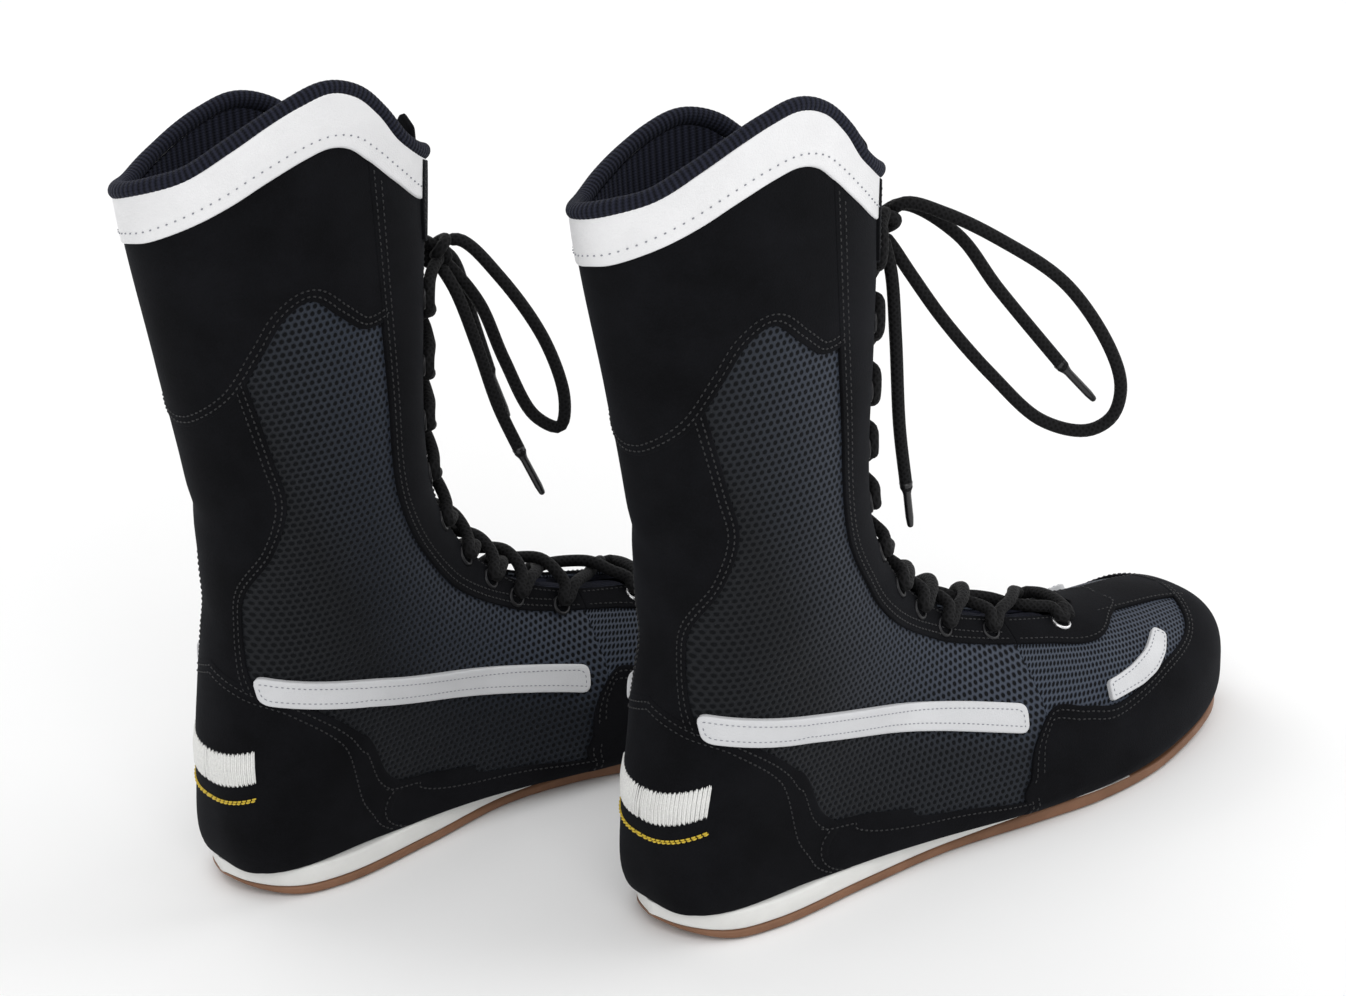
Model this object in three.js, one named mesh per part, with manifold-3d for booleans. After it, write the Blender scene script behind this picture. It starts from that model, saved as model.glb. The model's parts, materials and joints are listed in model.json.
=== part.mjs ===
// A pair of high lace-up boxing boots, in millimetres, +Z up, toes along +X.
// The right boot is built panel by panel on a last; the left boot is its mirror image.
import * as THREE from 'three';
import { mergeVertices } from 'three/addons/utils/BufferGeometryUtils.js';
import Module from 'manifold-3d';

const wasm = await Module();
wasm.setup();

// Driving dimensions
const FOOT_LENGTH = 290;
const BALL_WIDTH = 88;
const SHAFT_HEIGHT = 312;
const OUTSOLE = 3.5;
const MIDSOLE_HEEL = 7.7;
const MIDSOLE_BALL = 1.2;
const INSOLE = 3;
const PANEL = 2;
const LINING = 1.8;
const TONGUE = 3;
const TRIM = 1.2;
const CLEARANCE = 0.3;
const LACE_DIAMETER = 4.8;
const AGLET_DIAMETER = 3;
const COLLAR_ROLL = 7;
const LACING_SLOT = 18;
const EYELET_SPREAD = 17;
const TOE_SPRING = 8;
const HEEL_BEVEL = 7;
const TOE_FLEX = 205;
const FLEX_GAP = 2;
const LEFT_BOOT = [-102, 138];

// The pattern is drawn for these sizes, and grading stretches it to the driving dimensions.
const PATTERN = { length: 290, width: 88, height: 312, ankle: 135 };
const gradeX = (x) => (x * FOOT_LENGTH) / PATTERN.length;
const gradeY = (y) => (y * BALL_WIDTH) / PATTERN.width;
const SHAFT_GROWTH = (SHAFT_HEIGHT - PATTERN.ankle) / (PATTERN.height - PATTERN.ankle);
const gradeZ = (z) => (z < PATTERN.ankle ? z : PATTERN.ankle + (z - PATTERN.ankle) * SHAFT_GROWTH);
const grade = (x, y, z) => new THREE.Vector3(gradeX(x), gradeY(y), gradeZ(z));
const gradeSide = ([x, z]) => new THREE.Vector2(gradeX(x), gradeZ(z));

// ---- The last ----
// Each section is a slice through shaft or foot, from above the collar down and round to the toe:
// front [x, z], back [x, z], middle y, lateral and medial half width, where the slice is widest
// as a share of front to back, and the roundness of its front and back.
const SECTIONS = [
  [[122, 330], [-4, 330], 0, 36, 36, 0.5, 1, 1],
  [[119, 270], [-2, 270], 0, 37, 37, 0.5, 1, 1],
  [[112, 210], [6, 210], 0, 37, 37, 0.5, 1, 1],
  [[107, 165], [12, 160], 0, 36, 36, 0.5, 1, 1],
  [[109, 135], [13, 118], 0, 35, 35, 0.52, 1, 0.95],
  [[119, 112], [7, 78], 0, 34, 34, 0.55, 1, 0.9],
  [[133, 97], [2, 42], 1, 33, 33, 0.6, 1, 0.8],
  [[148, 87], [7, 8], 1, 32, 31, 0.66, 1, 0.55],
  [[165, 79], [50, 7], 1, 33, 29, 0.7, 1, 0.42],
  [[184, 72], [105, 6], 0, 37, 31, 0.72, 0.98, 0.38],
  [[205, 66], [160, 4], 0, 43, 38, 0.72, 0.95, 0.36],
  [[228, 62], [205, 3], 1, 44, 43, 0.7, 0.92, 0.36],
  [[250, 58], [240, 5], 3, 39, 41, 0.66, 0.9, 0.38],
  [[268, 52], [264, 7], 5, 30, 34, 0.6, 0.85, 0.42],
  [[280, 42], [279, 11], 7, 19, 23, 0.56, 0.8, 0.5],
  [[286, 28], [286, 15], 8, 7, 9, 0.5, 0.8, 0.6],
];
const RINGS = 17;
const SEGMENTS = 14;

function sectionAt(u) {
  const i = Math.min(Math.floor(u), SECTIONS.length - 2);
  const at = (k) => SECTIONS[THREE.MathUtils.clamp(k, 0, SECTIONS.length - 1)].flat();
  const t = u - i;
  return at(i).map((value, k) => {
    const slopeIn = (at(i + 1)[k] - at(i - 1)[k]) / 2;
    const slopeOut = (at(i + 2)[k] - value) / 2;
    const rise = at(i + 1)[k] - value;
    return value + t * (slopeIn + t * (3 * rise - 2 * slopeIn - slopeOut
      + t * (slopeIn + slopeOut - 2 * rise)));
  });
}

// A point of the last: u runs along the sections, angle 0 is the front or top centre line.
function lastPoint(u, angle) {
  const [fx, fz, bx, bz, middle, lateral, medial, widest, frontRound, backRound] = sectionAt(u);
  const c = Math.cos(angle);
  const s = Math.abs(Math.sin(angle));
  const round = c >= 0 ? frontRound : backRound;
  const share = c >= 0 ? widest * (1 - c ** round) : widest + (1 - widest) * (-c) ** round;
  const half = Math.sin(angle) < 0 ? -lateral : medial;
  return grade(fx + (bx - fx) * share, middle + half * s ** round, fz + (bz - fz) * share);
}

function lastNormal(u, angle) {
  const step = 0.01;
  const along = lastPoint(u + step, angle).sub(lastPoint(u - step, angle));
  const around = lastPoint(u, angle + step).sub(lastPoint(u, angle - step));
  return along.cross(around).normalize();
}

// The angle at which the front of a section is this far from its middle line.
function frontAngle(u, y) {
  const [, , , , , lateral, medial, , frontRound] = sectionAt(u);
  const half = gradeY(y < 0 ? lateral : medial);
  return Math.sign(y) * Math.asin((Math.abs(y) / half) ** (1 / frontRound));
}

function closedGeometry(points, faces) {
  const geometry = new THREE.BufferGeometry().setFromPoints(points);
  geometry.setIndex(faces.flat());
  geometry.computeVertexNormals();
  return geometry;
}

function lastGeometry() {
  const points = [];
  const faces = [];
  for (let i = 0; i <= RINGS; i += 1) {
    const u = ((SECTIONS.length - 1) * i) / RINGS;
    for (let j = 0; j < SEGMENTS; j += 1) points.push(lastPoint(u, (2 * Math.PI * (j + 0.5)) / SEGMENTS));
  }
  for (let i = 0; i < RINGS; i += 1) {
    for (let j = 0; j < SEGMENTS; j += 1) {
      const a = i * SEGMENTS + j;
      const b = i * SEGMENTS + ((j + 1) % SEGMENTS);
      faces.push([a, a + SEGMENTS, b], [b, a + SEGMENTS, b + SEGMENTS]);
    }
  }
  const firstRing = points.slice(0, SEGMENTS);
  const lastRing = points.slice(-SEGMENTS);
  const middle = (ring) => ring.reduce((sum, p) => sum.add(p), new THREE.Vector3()).divideScalar(SEGMENTS);
  const base = points.length;
  points.push(middle(firstRing), middle(lastRing));
  for (let j = 0; j < SEGMENTS; j += 1) {
    const k = (j + 1) % SEGMENTS;
    faces.push([base, j, k], [base + 1, base - SEGMENTS + k, base - SEGMENTS + j]);
  }
  return closedGeometry(points, faces);
}

// ---- Solids ----
function toSolid(source) {
  const bare = source.clone();
  bare.deleteAttribute('normal');
  bare.deleteAttribute('uv');
  const merged = mergeVertices(bare, 1e-4);
  const solid = new wasm.Manifold(new wasm.Mesh({
    numProp: 3,
    vertProperties: new Float32Array(merged.attributes.position.array),
    triVerts: new Uint32Array(merged.index.array),
  }));
  return solid;
}

function toGeometry(solid) {
  const mesh = solid.getMesh();
  const geometry = new THREE.BufferGeometry();
  geometry.setAttribute('position', new THREE.BufferAttribute(mesh.vertProperties, 3));
  geometry.setIndex(new THREE.BufferAttribute(mesh.triVerts, 1));
  return geometry;
}

const LAST = lastGeometry();

// The last grown outwards, or shrunk with a negative distance, along its normals.
function lastAt(distance) {
  const grown = LAST.clone();
  const { position, normal } = grown.attributes;
  const p = new THREE.Vector3();
  const n = new THREE.Vector3();
  for (let i = 0; i < position.count; i += 1) {
    p.fromBufferAttribute(position, i).addScaledVector(n.fromBufferAttribute(normal, i), distance);
    position.setXYZ(i, p.x, p.y, p.z);
  }
  return toSolid(grown);
}
const shell = (inner, outer) => lastAt(outer).subtract(lastAt(inner));

// A side-view outline swept across the boot, from low y to high y.
const WIDE = 90;
const SIDES = { both: [-WIDE, WIDE], lateral: [-WIDE, 0], medial: [0, WIDE] };
function sideCut(outline, [low, high] = SIDES.both) {
  const swept = new THREE.ExtrudeGeometry(new THREE.Shape(outline), { depth: high - low, bevelEnabled: false });
  return toSolid(swept.rotateX(Math.PI / 2).translate(0, high, 0));
}
function planCut([x0, x1], [y0, y1]) {
  const tall = 2 * SHAFT_HEIGHT;
  const box = new THREE.BoxGeometry(x1 - x0, y1 - y0, tall);
  return toSolid(box.translate((x0 + x1) / 2, (y0 + y1) / 2, 0));
}

const sideCurve = (points) => new THREE.SplineCurve(points.map(gradeSide)).getPoints(points.length + 1);

// A seam is a thin gap that follows a side-view curve.
function seamOutline(points) {
  const curve = sideCurve(points);
  const shifted = (sign) => curve.map((p, i) => {
    const run = curve[Math.min(i + 1, curve.length - 1)].clone().sub(curve[Math.max(i - 1, 0)]).normalize();
    return new THREE.Vector2(p.x - (sign * run.y * CLEARANCE) / 2, p.y + (sign * run.x * CLEARANCE) / 2);
  });
  return [...shifted(1), ...shifted(-1).reverse()];
}
const splitAlong = (solid, points) => solid.subtract(sideCut(seamOutline(points))).decompose();

function farthest(pieces, direction) {
  const reach = (piece) => {
    const { min, max } = piece.boundingBox();
    const middle = new THREE.Vector3(...min).add(new THREE.Vector3(...max)).divideScalar(2);
    return middle.dot(direction);
  };
  return pieces.reduce((best, piece) => (reach(piece) > reach(best) ? piece : best));
}
const UP = new THREE.Vector3(0, 0, 1);
const DOWN = new THREE.Vector3(0, 0, -1);
const FORWARD = new THREE.Vector3(1, 0, 0);
const REARWARD = new THREE.Vector3(-1, 0, 0);
const MEDIAL = new THREE.Vector3(0, 1, 0);
const LATERAL = new THREE.Vector3(0, -1, 0);
const without = (pieces, taken) => wasm.Manifold.union(pieces.filter((piece) => piece !== taken));

// ---- Sole ----
const SOLE_LATERAL = [[3, 0], [8, -15], [20, -27], [40, -32], [80, -31], [120, -31], [160, -38],
  [190, -43], [220, -42], [250, -36], [270, -24], [282, -10], [288, 1], [290.6, 8]];
const SOLE_MEDIAL = [[3, 0], [8, 15], [20, 27], [40, 32], [80, 28], [120, 22], [150, 26],
  [180, 37], [205, 44], [230, 44], [255, 40], [272, 33], [283, 23], [289, 14], [290.6, 8]];
const SOLE_STATIONS = 16;
const BEVEL_LENGTH = 28;
const WEDGE_START = 80;

const soleRise = (x) => (x > TOE_FLEX ? TOE_SPRING * ((x - TOE_FLEX) / (PATTERN.length - TOE_FLEX)) ** 2 : 0);
const heelLift = (x) => (x < BEVEL_LENGTH ? HEEL_BEVEL * ((BEVEL_LENGTH - x) / BEVEL_LENGTH) ** 2 : 0);
const midsoleAt = (x) => MIDSOLE_HEEL
  + (MIDSOLE_BALL - MIDSOLE_HEEL) * THREE.MathUtils.smoothstep(x, WEDGE_START, TOE_FLEX);
const outsoleTop = (x) => soleRise(x) + OUTSOLE + heelLift(x) * 0.5;
const soleTop = (x) => soleRise(x) + OUTSOLE + CLEARANCE + midsoleAt(x);

function edgeAt(edge, x) {
  const curve = new THREE.SplineCurve(edge.map(([px, py]) => new THREE.Vector2(px, py))).getPoints(240);
  const after = Math.max(1, curve.findIndex((p) => p.x >= x));
  const [a, b] = [curve[after - 1], curve[after]];
  return a.y + ((b.y - a.y) * (x - a.x)) / (b.x - a.x);
}

// A slab inside the sole's plan outline, between two heights that depend on x alone.
function soleSlab(x0, x1, bottom, top) {
  const points = [];
  const faces = [];
  for (let i = 0; i <= SOLE_STATIONS; i += 1) {
    const x = x0 + ((x1 - x0) * (1 - Math.cos((Math.PI * i) / SOLE_STATIONS))) / 2;
    const [lateral, medial] = [edgeAt(SOLE_LATERAL, x), edgeAt(SOLE_MEDIAL, x)];
    points.push(new THREE.Vector3(gradeX(x), gradeY(lateral), bottom(x)));
    points.push(new THREE.Vector3(gradeX(x), gradeY(medial), bottom(x)));
    points.push(new THREE.Vector3(gradeX(x), gradeY(medial), top(x)));
    points.push(new THREE.Vector3(gradeX(x), gradeY(lateral), top(x)));
  }
  for (let i = 0; i < SOLE_STATIONS; i += 1) {
    for (let j = 0; j < 4; j += 1) {
      const a = 4 * i + j;
      const b = 4 * i + ((j + 1) % 4);
      faces.push([a, b, a + 4], [b, b + 4, a + 4]);
    }
  }
  const end = 4 * SOLE_STATIONS;
  faces.push([0, 2, 1], [0, 3, 2], [end, end + 1, end + 2], [end, end + 2, end + 3]);
  return closedGeometry(points, faces);
}

const SOLE_BACK = 3.6;
const SOLE_TIP = 290.4;
const outsoleHeel = soleSlab(SOLE_BACK, TOE_FLEX - FLEX_GAP, heelLift, outsoleTop);
const midsole = soleSlab(SOLE_BACK, TOE_FLEX - FLEX_GAP, (x) => outsoleTop(x) + CLEARANCE, soleTop);
const outsoleToe = soleSlab(TOE_FLEX + FLEX_GAP, SOLE_TIP, soleRise, soleTop);

// Everything of the upper stands on this line, a clearance above the sole.
function soleLine(lift) {
  const line = [];
  for (let x = -20; x <= 310; x += 10) {
    const held = THREE.MathUtils.clamp(x, 0, PATTERN.length);
    line.push(new THREE.Vector2(gradeX(x), soleTop(held) + CLEARANCE + lift));
  }
  return line;
}
const above = (line, height) => [...line, new THREE.Vector2(line.at(-1).x, height),
  new THREE.Vector2(line[0].x, height)];
const overSole = sideCut(above(soleLine(0), 2 * SHAFT_HEIGHT));

// ---- Upper ----
const RIM = [[-40, 278], [2, 278], [12, 279], [26, 285], [40, 291], [52, 295], [64, 297], [75, 293], [85, 284],
  [95, 272], [106, 265], [119, 262], [150, 262]];
const BAND_EDGE = [[-40, 262], [0, 262], [12, 265], [24, 269], [37, 274], [52, 278.5], [62, 280], [70, 278],
  [78, 272], [90, 262], [104, 252], [150, 244]];
const EYESTAY_EDGE = [[78, 330], [78, 225], [78, 186], [79, 149], [94, 115], [128, 83], [155, 71],
  [181, 64], [207, 59], [219, 61], [225, 80]];
const SHAFT_PANEL_EDGE = [[-40, 189], [9, 190], [19, 200], [30, 216], [38, 226], [48, 230], [59, 222],
  [69, 215], [79, 215], [95, 219]];
const COUNTER_EDGE = [[-40, 94], [13, 88], [28, 80], [51, 61], [69, 32], [77, -20]];
const ANKLE_EDGE = [[22, 216], [30, 178], [33, 159], [27, 139], [17, 119], [15, 96], [16, 60]];
const CAP_EDGE = [[150, -20], [152, 12], [159, 35], [170, 45], [186, 42], [200, 39], [225, 44],
  [250, 49], [261, 55], [270, 80]];
const RAND_EDGE = [[50, 38], [75, 32], [105, 23], [130, 18], [150, 14], [175, 10]];
const TOE_MESH_START = [[189, 90], [187, 20]];
const SLOT_REGION = [[85, 340], [150, 340], [150, 130], [212, 90], [212, 48], [160, 62], [118, 84], [85, 120]];
const TOE_STRIP = 16;

const aboveRim = sideCut(above(sideCurve(RIM), 2 * SHAFT_HEIGHT));
const lacingSlot = sideCut(SLOT_REGION.map(gradeSide), [-LACING_SLOT / 2, LACING_SLOT / 2]);
const trimmed = (solid) => solid.intersect(overSole).subtract(aboveRim).subtract(lacingSlot);
const piece = {};

piece.lining = trimmed(shell(-PANEL - CLEARANCE - LINING, -PANEL - CLEARANCE));

const bandCut = splitAlong(trimmed(shell(-PANEL, 0)), BAND_EDGE);
piece.collar_band = farthest(bandCut, UP);

const throatSlit = planCut([gradeX(205), gradeX(235)], [-CLEARANCE / 2, CLEARANCE / 2]);
const eyestayCut = splitAlong(without(bandCut, piece.collar_band), EYESTAY_EDGE);
const [facings, body] = (() => {
  const biggest = eyestayCut.reduce((a, b) => (b.volume() > a.volume() ? b : a));
  return [without(eyestayCut, biggest).subtract(throatSlit).decompose(), biggest];
})();
piece.eyestay_lateral = farthest(facings, LATERAL);
piece.eyestay_medial = farthest(facings, MEDIAL);

const panelCut = splitAlong(body, SHAFT_PANEL_EDGE);
piece.shaft_panel = farthest(panelCut, UP);

const counterCut = splitAlong(without(panelCut, piece.shaft_panel), COUNTER_EDGE);
piece.heel_counter = farthest(counterCut, DOWN.clone().add(REARWARD));

const capCut = splitAlong(without(counterCut, piece.heel_counter), CAP_EDGE);
piece.toe_cap = farthest(capCut, FORWARD.clone().addScaledVector(DOWN, 2));

const ankleCut = splitAlong(without(capCut, piece.toe_cap), ANKLE_EDGE);
piece.ankle_panel = farthest(ankleCut, REARWARD);

const randCut = splitAlong(without(ankleCut, piece.ankle_panel), RAND_EDGE);
const rands = randCut.filter((part) => part.boundingBox().max[2] < gradeZ(45));
piece.rand_lateral = farthest(rands, LATERAL);
piece.rand_medial = farthest(rands, MEDIAL);

const meshCut = splitAlong(wasm.Manifold.union(randCut.filter((part) => !rands.includes(part))), TOE_MESH_START);
const vamp = farthest(meshCut, FORWARD);
const quarters = meshCut.filter((part) => part !== vamp);
piece.quarter_lateral = farthest(quarters, LATERAL);
piece.quarter_medial = farthest(quarters, MEDIAL);

const stripEdge = (side) => {
  const middle = (side * TOE_STRIP) / 2;
  return planCut([gradeX(180), gradeX(PATTERN.length)], [middle - CLEARANCE / 2, middle + CLEARANCE / 2]);
};
const vampCut = vamp.subtract(stripEdge(1)).subtract(stripEdge(-1)).decompose();
piece.toe_mesh_lateral = farthest(vampCut, LATERAL);
piece.toe_mesh_medial = farthest(vampCut, MEDIAL);
piece.toe_strip = vampCut.find((part) => part !== piece.toe_mesh_lateral && part !== piece.toe_mesh_medial);

const insoleSlab = sideCut([...soleLine(0), ...soleLine(INSOLE).reverse()]);
const insideLining = -PANEL - LINING - 2 * CLEARANCE;
piece.insole = lastAt(insideLining).intersect(insoleSlab);

const TONGUE_REGION = [[84, 258], [140, 258], [140, 130], [203, 100], [203, 40], [150, 66], [116, 84], [92, 112],
  [84, 140]];
const TONGUE_WIDTH = 48;
piece.tongue = shell(insideLining - TONGUE, insideLining)
  .intersect(sideCut(TONGUE_REGION.map(gradeSide), [-TONGUE_WIDTH / 2, TONGUE_WIDTH / 2]));

// ---- Stitched-on leather trim ----
const trimShell = shell(CLEARANCE, CLEARANCE + TRIM);
const SIDE_BAND = [[16, 92], [60, 80.5], [110, 65], [160, 49.5], [157, 39.5], [107, 55], [57, 70.5], [16.5, 81]];
const TOE_FLASH = [[196, 40], [212, 41], [226, 46], [232, 52], [226, 55], [212, 48], [198, 47]];
const onTrim = (outline, side) => trimShell.intersect(sideCut(outline.map(gradeSide), SIDES[side]));
for (const side of ['lateral', 'medial']) {
  piece[`stripe_${side}`] = onTrim(SIDE_BAND, side);
  piece[`toe_flash_${side}`] = onTrim(TOE_FLASH, side);
}

// ---- Tubes ----
function tube(points, diameter, stepLength, sides = 8) {
  const curve = new THREE.CatmullRomCurve3(points);
  const section = new THREE.Shape();
  section.absarc(0, 0, diameter / 2, 0, 2 * Math.PI);
  const steps = Math.max(2, Math.round(curve.getLength() / stepLength));
  return toSolid(new THREE.ExtrudeGeometry(section, { steps, curveSegments: sides / 2, extrudePath: curve }));
}

const ROLL_LIFT = 1.2;

// The collar roll sits on the rim and leaves the lacing slot open.
function collarRoll() {
  const rim = sideCurve(RIM);
  const rimHeight = (x) => {
    const after = Math.max(1, rim.findIndex((p) => p.x >= x));
    const [a, b] = [rim[after - 1], rim[after]];
    return a.y + ((b.y - a.y) * (x - a.x)) / (b.x - a.x);
  };
  const wallMiddle = -(PANEL + CLEARANCE + LINING) / 2;
  const u = 0.5;
  const opening = frontAngle(u, LACING_SLOT / 2 + 1);
  const path = [];
  const steps = 20;
  for (let i = 0; i <= steps; i += 1) {
    const angle = opening + ((2 * Math.PI - 2 * opening) * i) / steps;
    const p = lastPoint(u, angle).addScaledVector(lastNormal(u, angle), wallMiddle);
    path.push(p.setZ(rimHeight(p.x)));
  }
  const seat = COLLAR_ROLL / 2 + ROLL_LIFT;
  return path.map((p, i) => {
    const run = path[Math.min(i + 1, steps)].clone().sub(path[Math.max(i - 1, 0)]).normalize();
    return p.clone().addScaledVector(UP.clone().addScaledVector(run, -run.z).normalize(), seat);
  });
}
piece.collar_roll = tube(collarRoll(), COLLAR_ROLL, 12);

// The pull tab stands in front of the tongue, between the ends of the collar roll.
const TAB = { width: 12.6, height: 34, point: 6, thickness: 2.6, foot: 248 };
function tongueTab() {
  const half = TAB.width / 2;
  const outline = [[-half, 0], [half, 0], [half, TAB.height - TAB.point], [0, TAB.height],
    [-half, TAB.height - TAB.point]].map(([y, z]) => new THREE.Vector2(y, z));
  const swept = new THREE.ExtrudeGeometry(new THREE.Shape(outline), { depth: TAB.thickness, bevelEnabled: false });
  const tongueFace = gradeX(sectionAt(1.2)[0]) + insideLining;
  return swept.rotateX(Math.PI / 2).rotateZ(Math.PI / 2)
    .translate(tongueFace + 2 * CLEARANCE, 0, gradeZ(TAB.foot));
}

// Both shafts lean over the same way, so their collars slope down towards the high side of y.
const LEAN = 0.28;
const LEAN_HEIGHTS = [150, 290];
function lean(p, side) {
  const share = THREE.MathUtils.smoothstep(p.z, gradeZ(LEAN_HEIGHTS[0]), gradeZ(LEAN_HEIGHTS[1]));
  return p.setZ(p.z - side * LEAN * share * p.y);
}

// ---- Laces ----
const LACE_LIFT = 1.1;
const LACE_ROWS = [1.5, 1.95, 2.45, 2.95, 3.6, 4.4, 5.2, 6, 6.9, 8.1, 9.6];
const KNOT_SIZE = [7, 10, 8];
const CORD_STEP = 2.2 * LACE_DIAMETER;

function knotSolid(centre, growth) {
  const ball = new THREE.SphereGeometry(1, 10, 6).scale(...KNOT_SIZE.map((r) => r + growth));
  return toSolid(ball.translate(centre.x, centre.y, centre.z));
}

// One strand goes to and fro across the slot, row by row, and ends in the knot.
function lacing(rows, knot, lie) {
  const lift = LACE_LIFT + LACE_DIAMETER / 2;
  const onFront = (u, y) => {
    const angle = frontAngle(u, y);
    return lean(lastPoint(u, angle).addScaledVector(lastNormal(u, angle), lift), lie);
  };
  const path = [];
  rows.slice().reverse().forEach((u, i) => {
    const side = i % 2 === 0 ? 1 : -1;
    const rise = 0.1;
    for (const share of [1, 0.5, 0, -0.5, -1]) {
      path.push(onFront(u + rise * share, side * share * EYELET_SPREAD));
    }
  });
  path.push(knot);
  return tube(path, LACE_DIAMETER, CORD_STEP).add(knotSolid(knot, 0));
}

// A free stretch of lace leaves the knot with a clearance; the last point of an end is its aglet's tip.
function freeLace(points, knot, aglet) {
  const route = points.map((p) => new THREE.Vector3(...p));
  const tip = aglet ? route.pop() : null;
  let solid = tube(route, LACE_DIAMETER, CORD_STEP);
  if (aglet) {
    const joint = route.at(-1);
    const start = joint.clone().addScaledVector(tip.clone().sub(joint).normalize(), -AGLET_DIAMETER);
    solid = solid.add(tube([start, tip], AGLET_DIAMETER, 30));
  }
  return solid.subtract(knotSolid(knot, CLEARANCE));
}

const RIGHT_KNOT = new THREE.Vector3(125, 0, 244);
const RIGHT_LOOP = [[126, 0, 246], [133, -5, 251], [143, -15, 247], [158, -28, 236], [176, -42, 218], [188, -52, 192],
  [191, -54, 176], [188, -52, 165], [181, -46, 160], [168, -36, 165], [154, -25, 184], [141, -15, 206],
  [133, -7, 224], [128, -2, 236], [125, 0, 241]];
const RIGHT_END_A = [[127, 4, 245], [137, 1, 248], [151, -12, 236], [161, -22, 215], [179, -36, 183],
  [188, -43, 169]];
const RIGHT_END_B = [[123, -4, 241], [123, -8, 228], [123, -9, 203], [123, -9, 168], [125, -9, 143], [127, -8, 126]];
const LEFT_KNOT = new THREE.Vector3(124, 0, 226);
const LEFT_LOOP = [[125, 0, 228], [132, -5, 229], [142, -15, 214], [154, -24, 187], [158, -28, 163],
  [156, -26, 152], [149, -20, 157], [142, -13, 180], [136, -9, 203], [129, -4, 217], [125, 0, 223]];
const LEFT_END_A = [[122, -4, 223], [125, -10, 212], [130, -14, 189], [135, -17, 164], [140, -22, 145],
  [146, -26, 127]];
const LEFT_END_B = [[127, 4, 226], [134, 4, 218], [138, 1, 195], [142, -2, 172], [146, -6, 153]];

// ---- Materials ----
const finish = (color, roughness, metalness = 0) => new THREE.MeshStandardMaterial({ color, roughness, metalness });
const SUEDE = finish(0x0c0d10, 0.9);
const MESH_CLOTH = finish(0x2a2f38, 0.7);
const WHITE_LEATHER = finish(0xe6e6e6, 0.5);
const COLLAR_KNIT = finish(0x1b1e27, 0.85);
const LACE_CORD = finish(0x0b0b0d, 0.8);
const FOAM_WHITE = finish(0xd9d8d4, 0.6);
const GUM_RUBBER = finish(0x7a5238, 0.7);
const LOOKS = {
  outsole_heel: GUM_RUBBER, outsole_toe: GUM_RUBBER, midsole: FOAM_WHITE, insole: COLLAR_KNIT, lining: COLLAR_KNIT,
  heel_counter: SUEDE, ankle_panel: SUEDE, quarter_lateral: MESH_CLOTH, quarter_medial: MESH_CLOTH,
  rand_lateral: SUEDE, rand_medial: SUEDE, eyestay_lateral: SUEDE, eyestay_medial: SUEDE,
  stripe_lateral: WHITE_LEATHER, stripe_medial: WHITE_LEATHER, toe_cap: SUEDE, toe_strip: SUEDE,
  toe_mesh_lateral: MESH_CLOTH, toe_mesh_medial: MESH_CLOTH, toe_flash_lateral: WHITE_LEATHER,
  toe_flash_medial: WHITE_LEATHER, shaft_panel: SUEDE, collar_band: WHITE_LEATHER, collar_roll: COLLAR_KNIT,
  tongue: COLLAR_KNIT, tongue_tab: SUEDE, lace: LACE_CORD,
};

// ---- Assembly ----
const shapes = { outsole_heel: outsoleHeel, outsole_toe: outsoleToe, midsole, tongue_tab: tongueTab() };
for (const [name, solid] of Object.entries(piece)) shapes[name] = toGeometry(solid);

function namedMesh(name, geometry, material) {
  const mesh = new THREE.Mesh(geometry, material);
  mesh.name = name;
  return mesh;
}

function leaning(shape, lie) {
  const geometry = shape.clone();
  const { position } = geometry.attributes;
  const p = new THREE.Vector3();
  for (let i = 0; i < position.count; i += 1) {
    lean(p.fromBufferAttribute(position, i), lie);
    position.setXYZ(i, p.x, p.y, p.z);
  }
  return geometry;
}

function boot(side, lie, lace) {
  const group = new THREE.Group();
  for (const [name, material] of Object.entries(LOOKS)) {
    const geometry = name === 'lace' ? toGeometry(lace) : leaning(shapes[name], lie);
    group.add(namedMesh(`${side}_${name}`, geometry, material));
  }
  return group;
}

function freeLaces(side, knot, routes) {
  const group = new THREE.Group();
  for (const [name, points] of Object.entries(routes)) {
    const solid = freeLace(points, knot, name !== 'lace_loop');
    group.add(namedMesh(`${side}_${name}`, toGeometry(solid), LACE_CORD));
  }
  return group;
}

const rightBoot = boot('right', 1, lacing(LACE_ROWS, RIGHT_KNOT, 1));
const leftBoot = boot('left', -1, lacing(LACE_ROWS.slice(1), LEFT_KNOT, -1));
const rightLaces = freeLaces('right', RIGHT_KNOT,
  { lace_loop: RIGHT_LOOP, lace_end_a: RIGHT_END_A, lace_end_b: RIGHT_END_B });
const leftLaces = freeLaces('left', LEFT_KNOT,
  { lace_loop: LEFT_LOOP, lace_end_a: LEFT_END_A, lace_end_b: LEFT_END_B });
leftBoot.scale.y = -1;
leftBoot.position.set(...LEFT_BOOT, 0);
leftLaces.position.set(...LEFT_BOOT, 0);

// The origin is under the middle of the two boots, without the free laces.
const boots = new THREE.Group();
boots.add(rightBoot, leftBoot);
boots.updateMatrixWorld(true);
const middle = new THREE.Box3().setFromObject(boots, true).getCenter(new THREE.Vector3());
const pair = new THREE.Group();
pair.add(boots, rightLaces, leftLaces);
pair.position.set(-middle.x, -middle.y, 0);

export default pair;
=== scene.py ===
"""A pair of high lace-up boxing boots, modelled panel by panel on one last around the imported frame.

Pattern sizes are in millimetres, in each boot's own frame: x towards the toe, y towards the inner side,
z up from the floor. Every finished mesh is in metres, in the frame's coordinates.
"""
import json
import math

import bpy
import numpy as np
from bpy.props import FloatProperty, FloatVectorProperty, PointerProperty
from mathutils import Matrix, Vector
from mathutils.geometry import delaunay_2d_cdt


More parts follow.
